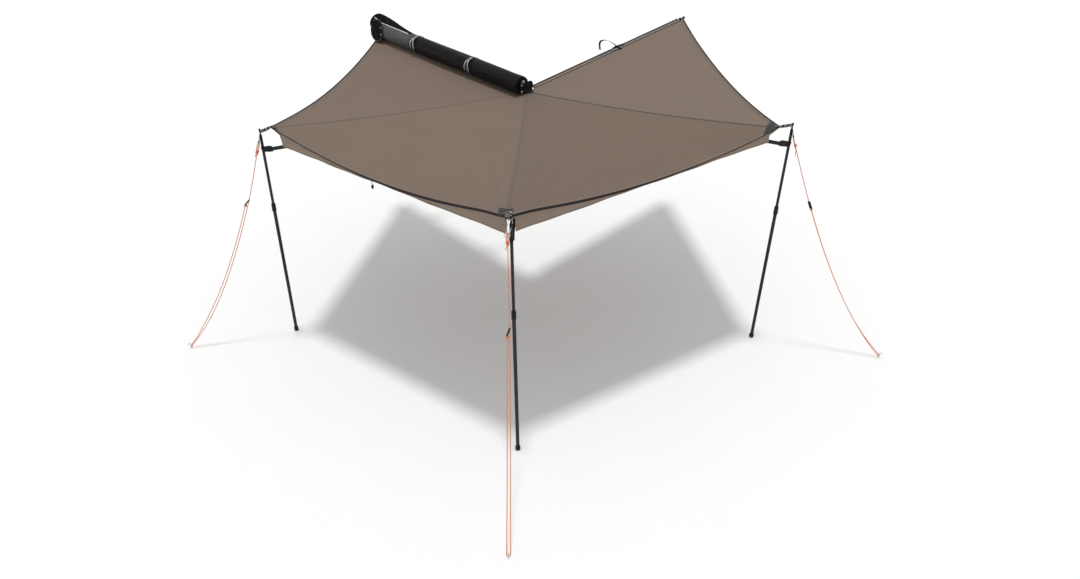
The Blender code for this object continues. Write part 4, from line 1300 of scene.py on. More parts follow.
    def rolled_layers(self) -> None:
        """The turns of sheeting inside the mouth and on the near end: a spiral of falling radius."""
        turns = np.linspace(0, 2 * math.pi * self.layer_turns, 150)
        piece = Piece("bag_layers", [Finish.LINING, Finish.SHEETING])
        spans = ((0.985, 1 - 0.9 * self.depth / self.length, 0.060, 0), (0.0002, -0.0016, 0.066, 1))
        for begin, end, size, slot in spans:
            radius = size - (size - 0.018) * turns / turns[-1]
            corners = ((begin, 0.0), (begin, 0.0022), (end, 0.0022), (end, 0.0))
            rows = [self.middle(share) + around_y(radius - thin, turns) for share, thin in corners]
            piece.grid(np.stack(rows, 1), wrap=True, caps=True, slot=slot)
        settle(piece.build(smooth_angle=50.0), "frame")

    def piping(self) -> None:
        """The light piping along the foot of the flap and round the mouth's rim."""
        share = np.linspace(*self.piping_span, 60)
        t = math.radians(self.piping_angle) + 0.10 * (share - share[0])
        radius = np.diag(self.skin(share, t)) + 0.0012
        piece = Piece("bag_piping", [Finish.PIPING, Finish.SHEETING])
        piece.tube(self.middle(share) + around_y(radius, t), 0.0040, 10)
        around = circle(96)
        rim = self.skin(np.array([0.998]), around)[0] - 0.004
        piece.tube(self.middle(1.0) + around_y(rim, around), 0.0032, 8, slot=1, closed=True)
        settle(piece.build(), "frame")

    def end_panel(self) -> None:
        """The round end panel folded back against the bag's outboard side, with its corded rim.

        Its face is a disc of rings and spokes, creased as sin(7 a) and sin(3 a) towards its middle.
        """
        spot = self.middle(1.0) - [0.0, self.panel_radius + 0.003, 0.0]
        place = shift(*spot) @ turn("Y", 90 - self.panel_side)
        inner = self.radius - self.panel_sewn
        a = circle(72)
        r = np.append(np.linspace(0.004, 0.96, 16), [1.0, 1.0, 0.97])[:, None] * self.panel_radius
        crease = 0.0022 * np.sin(7 * a + 1) * np.sin(r * 60) + 0.0016 * np.sin(3 * a - r * 40)
        top = inner + self.panel_thick + crease * (1 - (r / self.panel_radius) ** 6)
        top[-2:] = [[inner + 0.001], [inner]]
        rows = combined(r * np.cos(a), r * np.sin(a), top)
        piece = Piece("bag_end_panel", [Finish.LINING, Finish.PALE_WEBBING, Finish.SHEETING])
        piece.grid(moved(place, rows), wrap=True, caps=True)
        rim = combined(np.cos(a), np.sin(a), 0.0) * (self.panel_radius - 0.003)
        piece.tube(moved(place, rim + [0, 0, inner + self.panel_thick]), 0.0034, 8, slot=2, closed=True)
        t = np.radians(np.linspace(60, 156, 40))
        outer = 0.130 - 0.052 * np.linspace(0, 1, 40) ** 2
        low = np.full(40, self.radius - 0.004)
        section = ((low, 0.0012), (outer, 0.0012), (outer + 0.0012, 0.0030), (outer, 0.0048), (low, 0.0048))
        rows = [self.middle(1.0) + around_y(r, t) + [0, y, 0] for r, y in section]
        piece.grid(np.stack(rows, 1), wrap=True, caps=True)
        for x, y in ((0.035, -0.055), (-0.024, -0.067)):
            eye = place @ shift(x, y, inner + self.panel_thick)
            piece.lathe(eye, [(0.0030, 0.002), (0.0034, 0.0045), (0.0060, 0.0046), (0.0072, 0.001)], 20,
                        closed=True, slot=1)
        settle(piece.build(smooth_angle=60.0), "frame")

    def strap(self, number: int) -> None:
        """A flat band of webbing round the roll, with two pale tails that spread in a V.

        Args:
            number: number of the strap, from 0.
        """
        share = self.strap_places[number]
        t = circle(120)
        half = self.strap_width / 2 / self.length
        edge = [(half, 0.0002), (half * 1.01, 0.0010), (half, 0.0018), (half * 0.5, 0.0021)]
        outline = [(-a, r) for a, r in edge] + [(0, 0.0020)] + edge[::-1]
        rows = [self.section(share + a, t, self.radius + r) for a, r in outline]
        piece = Piece(f"roll_strap_{number + 1}", [Finish.WEBBING, Finish.PALE_WEBBING])
        piece.grid(np.array(rows), close=True, wrap=True)
        a = np.radians(np.linspace(100, 190, 26))
        done = (a - a[0]) / (a[-1] - a[0])
        lift = self.radius + 0.0055 + 0.009 * np.sin(done * math.pi) ** 2
        width = 0.0065 / self.length
        corners = ((-width, 0.0), (width, 0.0), (width, 0.0014), (-width, 0.0014))
        for side in (-1, 1):
            swing = side * (0.004 + 0.021 * ease(done)) / self.length
            tail = [self.middle(share + swing + across) + around_y(lift + up, a) for across, up in corners]
            piece.grid(np.stack(tail, 1), wrap=True, caps=True, slot=1)
        settle(piece.build(smooth_angle=50.0), "frame", [f"bag_strap_{number + 1}"])

    def buckle(self, number: int) -> None:
        """A side-release buckle bent to the roll: two shells with prongs and a ladder end.

        Args:
            number: number of the strap, from 0.
        """
        share = self.strap_places[number]
        piece = Piece(f"roll_buckle_{number + 1}", [Finish.NYLON])
        base = self.radius + 0.0027
        centre = math.radians(180 + self.buckle_side)

        def sweep(around: Array, sections: Sequence[Sequence[tuple[float, float]]]) -> None:
            """Adds a bent plate.

            Args:
                around: distances round the roll.
                sections: (across, out) pairs at each distance.
            """
            rows = [[self.middle(share + y / self.length) + around_y(base + r, centre - at / base)
                     for y, r in section] for at, section in zip(around, sections)]
            piece.grid(np.array(rows), wrap=True, caps=True)

        def shell(around: Array, halves: Array, low: float, high: float) -> None:
            """Adds a bent plate with two bevelled edges, given by its half widths."""
            sweep(around, [[(-h, low), (h, low), (h, high - 0.001), (h - 0.0015, high), (-h + 0.0015, high),
                            (-h, high - 0.001)] for h in halves])

        steps = np.linspace(0, 1, 12)
        body = 0.0150 + 0.0022 * np.sin(steps * math.pi)
        shell(-0.026 + 0.030 * steps, body, 0.0, 0.0085)
        for side in (-1, 1):
            halves = 0.0034 + 0.0014 * np.sin(steps * math.pi)
            middles = side * (0.0128 + 0.0015 * np.sin(steps * math.pi))
            sweep(-0.018 + 0.030 * steps, [[(m - h, 0.002), (m + h, 0.002), (m + h, 0.0072), (m - h, 0.0072)]
                                           for m, h in zip(middles, halves)])
        shell(0.008 + 0.018 * steps, np.full(12, 0.0145), 0.0, 0.0075)
        for at in (0.0135, 0.0215):
            shell(at + 0.002 * steps, np.full(12, 0.0135), 0.0060, 0.0100)
        settle(piece.build(), "frame", [f"bag_buckle_{number + 1}"])

    def build(self) -> None:
        """Makes the cover, its layers, the piping, the straps and the buckles."""
        self.cover()
        self.rolled_layers()
        self.piping()
        self.end_panel()
        for number in range(len(self.strap_places)):
            self.strap(number)
            self.buckle(number)
        log.info("bag: %.3f m long", self.length)


@dataclass
class Corner:
    """What joins a canopy corner to the post over a leg.

    Args:
        layout: where the awning's parts stand.
        canopy: the canopy, for its surface.
        k: number of the corner, from 0.
        patch_reach: length of the patch's sides.
        strap_width: width of the corner strap.
    """

    layout: Layout
    canopy: Canopy
    k: int
    patch_reach: float = 0.150
    strap_width: float = 0.045

    def patch(self) -> None:
        """The reinforcing patch: a triangle over the whole corner, or a strip at the second corner.

        Its rows run from hem to hem, or follow the hem round the second corner with a lip over it.
        """
        k = self.k
        layout = self.layout
        tip = layout.seam_end(k)
        sides = [unit(layout.seam_end(n) - tip) for n in (k - 1, k + 1)]
        across = np.linspace(0, 1, 25)[:, None]
        rows = []
        if k == 1:
            reach = np.where(across < 0.5, (0.5 - across) * 2 * 0.068, (across - 0.5) * 2 * 0.040)
            side = np.where(across < 0.5, sides[0], sides[1])
            inward = unit((layout.apex() - tip) * [1, 1, 0])
            for deep in (0.0005, 0.012, 0.026, 0.040, 0.054, 0.068):
                rows.append(self.canopy.drape(tip + side * reach + inward * deep, 0.0044))
            lip = rows[0] - inward * 0.0065
            rows = [lip - [0, 0, 0.013], lip - [0, 0, 0.004]] + rows
        else:
            for t in np.linspace(0.04, 1, 16):
                ends = [tip + side * (self.patch_reach if k else 0.062) * t for side in sides]
                rows.append(self.canopy.drape(ends[0] + (ends[1] - ends[0]) * across, 0.0040))
        piece = Piece(f"corner_patch_{k + 1}", [Finish.PATCH]).grid(np.array(rows))
        settle(piece.build(0.0016, 60.0, up=True), f"arm_{k + 1}")

    def grommet(self) -> None:
        """The metal eyelet in the patch, a ring beside the seam's end."""
        tip = self.layout.seam_end(self.k)
        side = unit(self.layout.seam_end(self.k + 1) - tip)
        inward = unit(self.layout.apex() - tip)
        spot = self.canopy.drape(tip + side * 0.026 + inward * 0.020, 0.0056)
        profile = [(0.0052, 0.0), (0.0050, 0.0012), (0.0062, 0.0024), (0.0098, 0.0022), (0.0108, 0.0006),
                   (0.0104, 0.0)]
        piece = Piece(f"corner_eyelet_{self.k + 1}", [Finish.BRIGHT])
        piece.lathe(shift(*spot), profile, 32, closed=True)
        settle(piece.build(), f"arm_{self.k + 1}")

    def strap(self) -> None:
        """The webbing from the corner to the post's neck, with dark edges, bars and a stitched eye.

        It lies on the canopy as far as the tip, then runs straight to the neck, where it ends in a
        half round.
        """
        k = self.k
        tip = self.canopy.surface(k, 1.0, 1.0)
        neck = moved(self.layout.corner(k), np.array([0, 0, self.layout.post_neck_top - 0.006]))
        half = self.strap_width / 2
        out = unit((neck - tip) * [1, 1, 0])
        side = np.cross(out, (0, 0, 1))
        across = np.linspace(-1, 1, 11)[:, None]
        rows = []
        for d in (0.036, 0.030, 0.024, 0.018, 0.012, 0.006):
            row = tip - out * d + side * across * min(half, 0.009 + d * 0.7)
            rows.append(self.canopy.drape(row, 0.0066))
        start, finish = tip + [0, 0, 0.0050], neck - out * 0.014
        for t in np.linspace(0, 1, 12):
            spot = start + (finish - start) * t - np.array([0, 0, 0.0020]) * math.sin(t * math.pi)
            rows.append(spot + side * across * (0.009 + (half - 0.009) * ease(t / 0.30)))
        for a in np.linspace(0, math.pi / 2, 10)[1:]:
            wide = half * math.cos(a) * 0.999 + 0.0002
            rows.append(finish + out * half * math.sin(a) + side * across * wide)
        piece = Piece(f"corner_webbing_{k + 1}", [Finish.WEBBING, Finish.DARK_CORD_AND_PAINTED_SHADE, Finish.PALE_WEBBING])
        piece.grid(np.array(rows))
        for edge in (0, -1):
            piece.tube(np.array([row[edge] for row in rows[3:18]]), 0.0024, 8, slot=1)
        for t in (0.16, 0.34, 0.52, 0.70):
            spot = start + (finish - start) * t + [0, 0, 0.0014]
            wide = 0.009 + (half - 0.009) * ease(t / 0.30)
            bar = np.array([spot + side * wide * s for s in np.linspace(-0.86, 0.86, 9)])
            piece.tube(bar, 0.0021, 8, slot=2 if round(t * 50) % 2 == 0 else 1)
        ring = self.layout.corner(k) @ shift(0, 0, self.layout.post_neck_top - 0.0072)
        profile = [(0.0058, 0.0), (0.0058, 0.0024), (0.0070, 0.0030), (0.0092, 0.0026), (0.0092, -0.0004)]
        eye = Piece(f"strap_eye_{k + 1}", [Finish.BRIGHT]).lathe(ring, profile, 28, closed=True)
        settle(eye.build(), f"arm_{k + 1}")
        settle(piece.build(0.0016, 50.0, up=True), f"arm_{k + 1}", [f"corner_strap_{k + 1}"])

    def build(self) -> None:
        """Makes the corner's soft pieces and dresses its hard ones."""
        n = self.k + 1
        self.patch()
        if self.k == 1:
            self.grommet()
        self.strap()
        dress(Finish.NYLON, Slot.NYLON, f"corner_joint_{n}")
        dress(Finish.COATED, Slot.COATED, f"post_{n}")
        dress(Finish.DULLED, Slot.BRIGHT, f"fold_pin_{n}")
        log.info("corner %d", n)


@dataclass
class GuyLine:
    """A guy rope with its wire link, bar tensioner, knots and peg.

    Args:
        layout: where the awning's parts stand.
        k: number of the corner, from 0.
        peg: the peg seen from the hub pin.
        sag: how far the rope hangs below its chord.
        share: place of the tensioner along the rope.
        radius: radius of the cord.
        bend: radius of the cord's turn round the peg.
        half: half the distance between the strands at the bar.
        peg_radius: radius of the peg's wire.
        clip_length: length of the wire link.
        clip_half: half its width.
        wire: radius of its wire.
        clip_drop: how steeply the link hangs.
        clip_swings: how far each link swings sideways.
        twists: how far each rope's strands are twisted above the peg.
        bar_rolls: how far each bar is rolled about its length.
        bar_slants: how far each bar slants across the strands.
        eye_lengths: length of each rope's tied eye.
        tail_drops: length of the tail below each eye.
    """

    layout: Layout
    k: int
    peg: tuple[float, float]
    sag: float
    share: float
    radius: float = 0.0030
    bend: float = 0.012
    half: float = 0.0085
    peg_radius: float = 0.003
    clip_length: float = 0.085
    clip_half: float = 0.0132
    wire: float = 0.0016
    clip_drop: float = 70.0
    clip_swings: tuple[float, ...] = (0.0, -14.0, 0.0)
    twists: tuple[float, ...] = (80.0, 0.0, 15.0)
    bar_rolls: tuple[float, ...] = (80.0, 80.0, 50.0)
    bar_slants: tuple[float, ...] = (22.0, 22.0, 17.0)
    eye_lengths: tuple[float, ...] = (0.075, 0.058, 0.066)
    tail_drops: tuple[float, ...] = (0.022, 0.035, 0.050)

    def clip_frame(self) -> Array:
        """The frame of the wire link: its inner end round the post's neck, +Y down along it.

        Returns:
            The frame as a 4 by 4 matrix.
        """
        inner = -(self.layout.post_neck + self.wire + 0.0006)
        place = self.layout.corner(self.k) @ shift(0, inner, self.layout.post_neck_top - 0.013)
        return place @ turn("X", -self.clip_drop) @ turn("Z", self.clip_swings[self.k])

    def ends(self) -> tuple[Array, Array, Array]:
        """The rope's first and last point and its sideways direction.

        Returns:
            The first point, the last point and the direction.
        """
        last = self.layout.from_hub(*self.peg, self.layout.ground + 0.020)
        link = moved(self.clip_frame(), np.array([0, self.clip_length + self.wire + 0.0003, 0]))
        chord = last - link
        return link, last, unit(np.array([-chord[1], chord[0], 0.0]))

    def at(self, t: Array | float) -> Array:
        """The rope's middle line: the chord lowered by 4 sag t (1 - t).

        Args:
            t: place along the rope, 0 at the link and 1 at the peg.

        Returns:
            The points.
        """
        link, last, _ = self.ends()
        t = np.asarray(t, float)
        spots = link + (last - link) * t[..., None]
        spots[..., 2] -= 4 * self.sag * t * (1 - t)
        return spots

    def aside(self, t: Array | float) -> Array:
        """The direction between the strands: level at the peg, turned about the rope further up.

        Args:
            t: place along the rope, 0 at the link and 1 at the peg.

        Returns:
            A direction for each place.
        """
        link, last, side = self.ends()
        above = unit(np.cross(side, last - link))
        turned = 1 - ease((np.asarray(t, float) - 0.70) / 0.28)
        a = (math.radians(self.twists[self.k]) * turned)[..., None]
        return np.cos(a) * side + np.sin(a) * above

    def route(self) -> Array:
        """Down one side to the peg, round it, and back up the other side to the tensioner.

        Returns:
            The cord's centre line.
        """
        _, last, side = self.ends()
        flat = unit((last - self.at(0.9)) * [1, 1, 0])
        above = np.linspace(0, self.share, 15)
        below = self.share + (0.992 - self.share) * np.arange(1, 27) / 26

        def spread(t: Array) -> Array:
            """Half the distance between the strands.

            Args:
                t: place along the rope, 0 at the link and 1 at the peg.

            Returns:
                A distance for each place.
            """
            near = self.half * ease(t / (self.share * 0.9))
            far = self.half + (self.bend - self.half) * (t - self.share) / (1 - self.share)
            return np.where(t < self.share, near, far)[:, None]

        a = np.radians(np.arange(90, -91, -22.5))
        centre = last - flat * (self.bend - self.peg_radius - self.radius - 0.0004)
        curl = centre + self.bend * (np.outer(np.cos(a), flat) + np.outer(np.sin(a), side))
        down = [self.at(t) + self.aside(t) * spread(t) for t in (above, below)]
        back = self.at(below[::-1]) - self.aside(below[::-1]) * spread(below[::-1])
        last_stretch = np.array([self.share + 0.021, self.share + 0.014])
        end = self.at(last_stretch) - self.aside(last_stretch) * self.half
        return np.vstack([*down, curl, back, end])

    def knot(self, name: str, spot: Array, ahead: Array, size: float = 1.0) -> bpy.types.Object:
        """A small overhand knot: a trefoil of cord, drawn out along the rope.

        Args:
            name: the object's name.
            spot: the knot's middle.
            ahead: the rope's direction there.
            size: the knot's size against a plain one.

        Returns:
            The finished object.
        """
        t = circle(54)
        r = 0.0042 * size
        line = np.column_stack([(2 + np.cos(3 * t)) * np.cos(2 * t), (2 + np.cos(3 * t)) * np.sin(2 * t),
                                2.2 * np.sin(3 * t)]) * r / 2
        normal, binormal = carried_frames(np.array([spot, spot + ahead * 0.01]))
        line = spot + line @ np.array([normal[0], binormal[0], unit(ahead)])
        obj = Piece(name, [Finish.CORD]).tube(line, self.radius * 0.95, 8, closed=True).build()
        return settle(obj, f"arm_{self.k + 1}")

    def eye(self) -> bpy.types.Object:
        """The rope's tied eye: a long loop beside the rope, from the link to the head knot, with a tail.

        Returns:
            The finished object.
        """
        side = self.aside(0.0)
        full = self.eye_lengths[self.k] / float(lengths(self.at(np.array([0.0, 1.0])))[-1])
        t = np.linspace(0, 1, 17)
        bulge = (0.0066 + 0.0020 * np.sin(t * math.pi))[:, None]
        line = self.at(t * full)
        lift = unit(np.cross(side, line[-1] - line[0])) * 0.0036
        path = np.vstack([line + side * bulge + lift, (line - side * bulge + lift)[::-1]])
        piece = Piece(f"rope_eye_{self.k + 1}", [Finish.CORD]).tube(path, self.radius * 0.95, 10, closed=True)
        s = np.linspace(0, 1, 9)
        drop = np.outer(s, [0, 0, -self.tail_drops[self.k]])
        piece.tube(line[-1] + drop + np.outer(0.012 * np.sin(s * 2), -side), self.radius * 0.9, 10)
        return settle(piece.build(), f"arm_{self.k + 1}")

    def tensioner(self) -> bpy.types.Object:
        """The bar tensioner: a flat bar with three holes' rims, slanted between the strands.

        Returns:
            The finished object.
        """
        side = self.aside(self.share)
        ahead = unit(self.at(self.share + 0.01) - self.at(self.share - 0.01))
        up = unit(np.cross(ahead, side))
        place = placed(side, ahead, up, self.at(self.share))
        place = place @ turn("Z", self.bar_slants[self.k]) @ turn("Y", self.bar_rolls[self.k])
        piece = Piece(f"bar_tensioner_{self.k + 1}", [Finish.NYLON])
        piece.slab(place, rounded(0.020, 0.060, 0.0095, 7), -0.0042, 0.0042, 0.0012)
        rim = [(0.0030, -0.0052), (0.0046, -0.0054), (0.0052, -0.0045), (0.0052, 0.0045), (0.0046, 0.0054),
               (0.0030, 0.0052)]
        for y in (-0.020, 0.0, 0.020):
            piece.lathe(place @ shift(0, y, 0), rim, 18, closed=True)
        obj = piece.build(smooth_angle=45.0)
        return settle(obj, f"arm_{self.k + 1}", [f"tensioner_{self.k + 1}"])

    def link(self) -> bpy.types.Object:
        """The wire link with a spring gate, and a thimble or a ring where the rope is tied.

        Returns:
            The finished object.
        """
        place = self.clip_frame()
        narrow = self.clip_half
        bright = self.k == 1
        halves = []
        for first, y in ((180, narrow), (0, self.clip_length - narrow)):
            a = np.radians(np.linspace(first, first + 180, 11))
            halves.append(combined(narrow * np.cos(a), y + narrow * np.sin(a), 0.0))
        piece = Piece(f"wire_link_{self.k + 1}", [Finish.BRIGHT if bright else Finish.COATED, Finish.BRIGHT])
        piece.tube(moved(place, np.vstack(halves)), self.wire, 12, closed=True)
        gate = np.array([[narrow, 0.022, 0.0], [narrow * 0.97, 0.042, 0.0006], [narrow * 0.97, 0.062, 0.0]])
        piece.tube(moved(place, gate), self.wire * 1.35, 10, slot=int(bright))
        if bright:
            a = circle(32)
            y = self.clip_length + 0.0135 + 0.0165 * np.sin(a)
            ring = np.column_stack([0.0175 * np.cos(a), y, 0.004 * np.cos(a)])
            piece.tube(moved(place, ring), self.wire * 1.5, 10, slot=1, closed=True)
        else:
            spot = place @ shift(0, self.clip_length - 0.006, -0.005)
            thimble = [(0.0040, 0.0), (0.0070, 0.0012), (0.0078, 0.0050), (0.0070, 0.0088), (0.0040, 0.0100)]
            piece.lathe(spot, thimble, 24, closed=True)
        return settle(piece.build(), f"arm_{self.k + 1}", [f"clip_{self.k + 1}"])

    def build(self) -> None:
        """Makes the rope with everything on it, and dresses the peg."""
        n = self.k + 1
        route = self.route()
        rope = Piece(f"guy_rope_{n}", [Finish.CORD]).tube(route, self.radius, 12).build()
        settle(rope, f"arm_{n}", [f"rope_{n}"])
        link = self.link()
        bar = self.tensioner()
        ahead = unit(route[2] - route[0])
        head = self.knot(f"head_knot_{n}", self.ends()[0] + ahead * self.eye_lengths[self.k], ahead, 1.7)
        eye = self.eye()
        stop = self.knot(f"stop_knot_{n}", route[-1], unit(route[-1] - route[-2]), 1.5)
        dress(Finish.BRIGHT, Slot.BRIGHT, f"peg_{n}")


@dataclass
class Leg:
    """A folding leg with a ribbed twist collar.

    Args:
        layout: where the awning's parts stand.
        k: number of the leg, from 0.
        collar_height: the collar's middle above the ground, along the leg.
        collar_length: length of the collar.
        collar_radius: radius of the collar.
        bore: radius of the hole through the collar.
        profile: share of the collar's length, change of radius and height of the ribs, from below.
    """

    layout: Layout
    k: int
    collar_height: float
    collar_length: float = 0.067
    collar_radius: float = 0.0165
    bore: float = 0.0125
    profile: tuple[tuple[float, float, float], ...] = (
        (-0.5, -0.0010, 0.0), (-0.47, 0.0, 0.0), (-0.44, -0.0004, 0.0007), (-0.08, -0.0004, 0.0007),
        (-0.05, -0.0002, 0.0), (0.0, -0.0002, 0.0), (0.04, -0.0018, 0.0), (0.10, -0.0018, 0.0),
        (0.13, -0.0004, 0.0007), (0.36, -0.0006, 0.0007), (0.42, -0.002, 0.0), (0.5, -0.0036, 0.0))

    def collar(self) -> None:
        """The collar: a turned body with long ribs, r = radius + rib |cos(10 t)|, and a waist."""
        middle = self.collar_height - self.layout.leg_length(self.k)
        t = circle(80)
        h, r, ribs = np.array(self.profile).T[..., None]
        outer = self.collar_radius + r + ribs * np.abs(np.cos(10 * t))
        radius = np.vstack([outer, np.full((2, 80), self.bore)])
        z = np.vstack([h, [[0.5], [-0.5]]]) * self.collar_length
        rows = combined(radius * np.cos(t), radius * np.sin(t), z)
        piece = Piece(f"twist_collar_{self.k + 1}", [Finish.NYLON])
        piece.grid(moved(self.layout.corner(self.k) @ shift(0, 0, middle), rows), wrap=True, close=True)
        obj = piece.build(smooth_angle=35.0)
        settle(obj, f"leg_{self.k + 1}_collar", [f"leg_collar_{self.k + 1}"])

    def build(self) -> None:
        """Makes the collar and dresses the tubes and the foot."""
        n = self.k + 1
        self.collar()
        dress(Finish.NYLON, Slot.NYLON, f"leg_knuckle_{n}")
        dress(Finish.ALLOY, Slot.ALLOY, f"leg_inner_{n}", f"leg_outer_{n}")
        dress(Finish.RUBBER, Slot.RUBBER, f"leg_foot_{n}")
        log.info("leg %d: %.3f m", n, self.layout.leg_length(self.k))


@dataclass
class Structure:
    """The rail, brackets, hub and arms, with their bolts and caps.

    Args:
        layout: where the awning's parts stand.
        strap_place: distance from the hub pin to the tie-down strap.
    """

    layout: Layout
    strap_place: float = 1.12

    def bolt(self, piece: Piece, place: Array, across: float = 0.010, tall: float = 0.005) -> None:
        """Adds a hexagon head on a washer, standing up along the place's own Z.

        Args:
            piece: the piece that takes it.
            place: frame whose Z stands out of the face.
            across: size across the flats.
            tall: height of the head.
        """
        size = across / 2
        piece.lathe(place, [(size * 1.35, 0.0), (size * 1.35, 0.0010), (size * 1.30, 0.0013)], 24)
        piece.lathe(place @ shift(0, 0, 0.0014), [(size, 0.0), (size, tall * 0.8), (size * 0.86, tall)], 6)

    def fasteners(self) -> None:
        """The bright bolts on the bag's near end and on the two brackets."""
        piece = Piece("fasteners", [Finish.BRIGHT])
        face = turn("X", 90)
        for x, z, across in ((-0.066, 0.147, 0.021), (-0.086, 0.124, 0.013), (-0.087, 0.070, 0.014)):
            self.bolt(piece, self.layout.at(x, -0.0290, z) @ face, across, 0.007)
        for name in ("bracket_rear", "bracket_front"):
            low, high = (np.array(v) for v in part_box(name))
            middle = (low[1] + high[1]) / 2
            self.bolt(piece, shift(high[0] - 0.030, middle, low[2] + 0.0052), 0.013, 0.007)
        settle(piece.build(smooth_angle=30.0), "frame")

    def end_plates(self) -> None:
        """The dark plate on the bag's near end, its lug over the hub and the hub's round cap."""
        hub = self.layout
        piece = Piece("end_plates", [Finish.COATED, Finish.NYLON])
        face = turn("X", 90)
        plate = rounded(0.080, 0.104, 0.012)
        piece.slab(hub.at(-0.060, -0.0245, 0.106) @ face, plate, 0.0, 0.004, 0.0008)
        lug = rounded(0.086, 0.086, 0.038, 9)
        piece.slab(hub.at(0.000, -0.0215, 0.092) @ face, lug, 0.0, 0.0030, 0.0008)
        dome = [(0.004, 0.052), (0.022, 0.0505), (0.040, 0.047), (0.049, 0.0435), (0.050, 0.0425),
                (0.046, 0.0418)]
        piece.lathe(hub.at(0, 0, 0), dome, 48, slot=1)
        settle(piece.build(smooth_angle=35.0), "frame")

    def tie_down(self) -> None:
        """The black strap round the last arm's sleeve, with a ladder buckle and a loose tail."""
        place = self.layout.arm(3)
        along = self.strap_place
        edge, under = self.layout.last_arm_section(along)
        top, low = edge + 0.004, under - 0.006
        middle, tall = (top + low) / 2, (top - low) / 2
        t = circle(40)
        x, z = (np.sign(wave) * np.abs(wave) ** 0.75 for wave in (np.sin(t), np.cos(t)))
        x = 0.0185 * np.where(x < 0, x * (1 + 1.55 * ease((np.cos(t) + 0.25) / 0.9)), x)
        z = middle + tall * z
        piece = Piece("sleeve_strap", [Finish.LINING, Finish.NYLON, Finish.PALE_WEBBING])
        rows = []
        for y, grow in ((-0.0125, 0.0), (-0.0125, 0.0018), (0.0125, 0.0018), (0.0125, 0.0)):
            scale = 1 + grow / 0.02
            rows.append(combined(x * scale, along + y, middle + (z - middle) * scale))
        piece.grid(moved(place, np.array(rows)), wrap=True, close=True)
        buckle = place @ shift(-0.034, along + 0.012, top + 0.0035) @ turn("Y", 6)
        for y, wide, long, thick in ((0.0, 0.022, 0.062, 0.006), (-0.047, 0.018, 0.036, 0.004),
                                     (0.054, 0.019, 0.044, 0.005)):
            piece.slab(buckle @ shift(0, y, 0), rounded(wide, long, 0.004), 0.0, thick, 0.001, slot=1)
        tape = place @ shift(-0.013, along - 0.020, top - 0.001)
        piece.slab(tape, rounded(0.010, 0.130, 0.003), 0.0, 0.0016, 0.0004, slot=2)
        s = np.linspace(0, 1, 40)
        arch = np.column_stack([-0.030 - 0.012 * np.sin(s * math.pi), along - 0.010 - 0.215 * ease(s * 1.15),
                                top + 0.007 + 0.098 * np.sin(s ** 1.35 * math.pi * 0.90)])
        rows = [arch + [across, 0, up] for across, up in ((-0.010, 0.0), (0.010, 0.0), (0.010, 0.0026),
                                                          (-0.010, 0.0026))]
        piece.grid(moved(place, np.stack(rows, 1)), wrap=True, caps=True)
        settle(piece.build(smooth_angle=50.0), "arm_4", ["tie_down"])

    def tip_fitting(self) -> None:
        """The small black fitting at the last corner: two round knobs and a flat tab."""
        layout = self.layout
        place = layout.arm(3) @ shift(-0.016, 0, layout.corner_heights[3] - layout.arm(3)[2, 3] + 0.004)
        piece = Piece("tip_fitting", [Finish.NYLON])
        dome = [(0.004, -0.012), (0.010, -0.009), (0.0125, 0.0), (0.010, 0.008), (0.004, 0.011)]
        reach = layout.canopy_reach
        for x, y, z in ((0.0, reach - 0.018, 0.002), (0.006, reach + 0.028, 0.004)):
            piece.lathe(place @ shift(x, y, z), dome, 24)
        tab = place @ shift(0.003, reach + 0.004, -0.004)
        piece.slab(tab, rounded(0.020, 0.060, 0.006), 0.0, 0.004, 0.001)
        settle(piece.build(), "arm_4")

    def build(self) -> None:
        """Makes the small hard pieces and dresses the frame's own."""
        self.fasteners()
        self.end_plates()
        self.tie_down()
        dress(Finish.ALLOY, Slot.ALLOY, "back_rail", "arm_1", "arm_2", "arm_3", "arm_4")
        dress(Finish.COATED, Slot.COATED, "bracket_rear", "bracket_front")
        dress(Finish.COATED, Slot.COATED, "hub_plate_lower", "hub_plate_upper")
        dress(Finish.BRIGHT, Slot.BRIGHT, "hub_pin")
        dress(Finish.NYLON, Slot.NYLON, "arm_cap_4")
        self.tip_fitting()
        log.info("structure: rail, brackets, hub and arms")


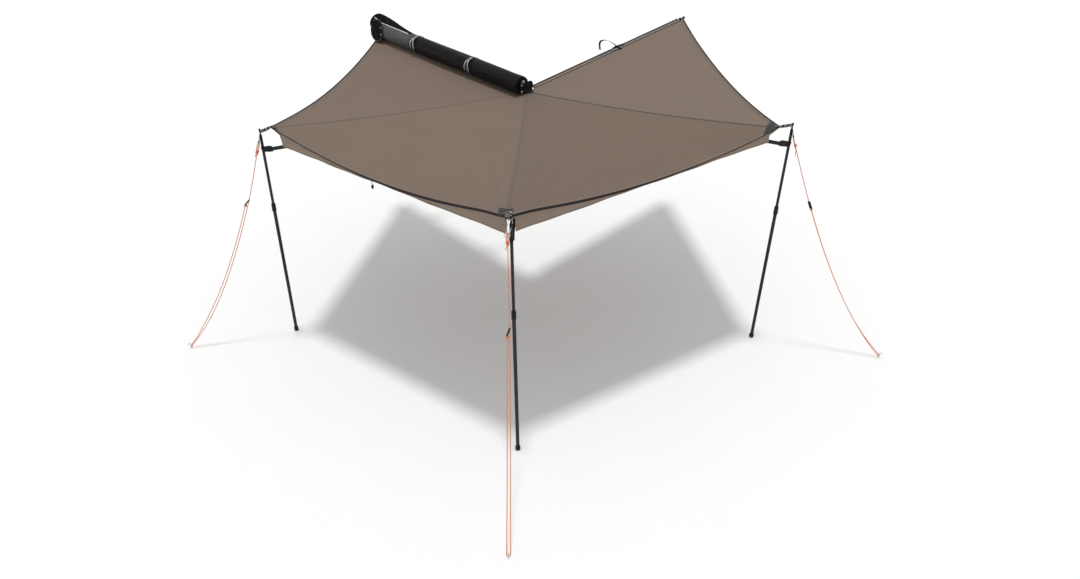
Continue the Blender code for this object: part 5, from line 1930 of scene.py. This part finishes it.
@dataclass(frozen=True)
class Studio:
    """The camera, the pale floor, the backdrop and the soft light.

    Args:
        camera: the camera's place.
        heading: its heading from +Y towards +X, in degrees.
        pitch: how far it looks down, in degrees.
        roll: its roll, in degrees.
        focal: focal length in pixels at the width given.
        width: width in pixels that the focal length is given for.
        ground: height of the floor.
        overhead: strength of the light from above.
        ambient: strength of the even surround.
        backdrop: brightness of the background that the camera sees.
    """

    camera: tuple[float, float, float] = (-4.593, -5.531, 2.806)
    heading: float = 43.145
    pitch: float = 35.429
    roll: float = -0.759
    focal: float = 874.1
    width: int = 1080
    ground: float = -1.80
    overhead: float = 1.50
    ambient: float = 0.60
    backdrop: float = 1.0

    def aim(self) -> None:
        """Sets the camera from its heading, pitch and roll."""
        psi, alpha, rho = (math.radians(a) for a in (self.heading, self.pitch, self.roll))
        ahead = np.array([math.sin(psi) * math.cos(alpha), math.cos(psi) * math.cos(alpha), -math.sin(alpha)])
        right = np.array([math.cos(psi), -math.sin(psi), 0.0])
        up = np.cross(right, ahead)
        across = right * math.cos(rho) + up * math.sin(rho)
        above = -right * math.sin(rho) + up * math.cos(rho)
        data = bpy.data.cameras.new("camera")
        data.sensor_width = 36.0
        data.lens = 36.0 * self.focal / self.width
        data.clip_end = 200.0
        obj = added("camera", data)
        obj.matrix_world = Matrix(placed(across, above, -ahead, self.camera).tolist())
        bpy.context.scene.camera = obj

    def floor(self) -> None:
        """A wide level floor with a faint grain."""
        corners = [(x * 60.0, y * 60.0, self.ground) for x, y in ((-1, -1), (1, -1), (1, 1), (-1, 1))]
        mesh = bpy.data.meshes.new("floor")
        mesh.from_pydata(corners, [], [(0, 1, 2, 3)])
        graph = Graph("floor", Roughness=0.95, Specular_IOR_Level=0.0)
        tone = graph.blend(graph.noise(3.0), (0.95, 0.95, 0.95), (0.97, 0.97, 0.97))
        mesh.materials.append(graph.finish(tone))
        added("floor", mesh)

    def light(self) -> None:
        """A soft light from above, an even surround, and a white backdrop for the camera alone."""
        data = bpy.data.lights.new("overhead", "SUN")
        data.energy = self.overhead
        data.angle = math.radians(7.0)
        added("overhead", data)
        world = bpy.data.worlds.new("surround")
        bpy.context.scene.world = world
        world.use_nodes = True
        tree = world.node_tree
        tree.nodes.clear()
        mix = tree.nodes.new("ShaderNodeMixShader")
        sources = [tree.nodes.new("ShaderNodeLightPath").outputs["Is Camera Ray"]]
        for strength in (self.ambient, self.backdrop):
            node = tree.nodes.new("ShaderNodeBackground")
            node.inputs["Color"].default_value = (1.0, 1.0, 1.0, 1.0)
            node.inputs["Strength"].default_value = strength
            sources.append(node.outputs[0])
        for source, socket in zip(sources, mix.inputs):
            tree.links.new(source, socket)
        tree.links.new(mix.outputs[0], tree.nodes.new("ShaderNodeOutputWorld").inputs[0])

    def build(self) -> None:
        """Sets up the camera, the floor, the light and the plain view of colours."""
        self.aim()
        self.floor()
        self.light()
        bpy.context.scene.view_settings.view_transform = "Standard"
        log.info("studio: lens %.2f mm", 36.0 * self.focal / self.width)


def main() -> None:
    """Builds the studio and every sub-assembly."""
    logging.basicConfig(level=logging.INFO, format="%(message)s")
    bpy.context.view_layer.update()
    layout = Layout()
    Studio().build()
    guys = (((-2.702, 1.267), 0.20, 0.20), ((-2.209, -2.150), 0.16, 0.25), ((1.266, -2.784), 0.22, 0.21))
    for k, (peg, sag, share) in enumerate(guys):
        GuyLine(layout, k, peg, sag, share).build()
    canopy = Canopy(layout)
    canopy.build()
    Bag(layout).build()
    for k, height in enumerate((1.225, 1.191, 1.225)):
        Corner(layout, canopy, k).build()
        Leg(layout, k, height).build()
    Structure(layout).build()


if __name__ == "__main__":
    main()
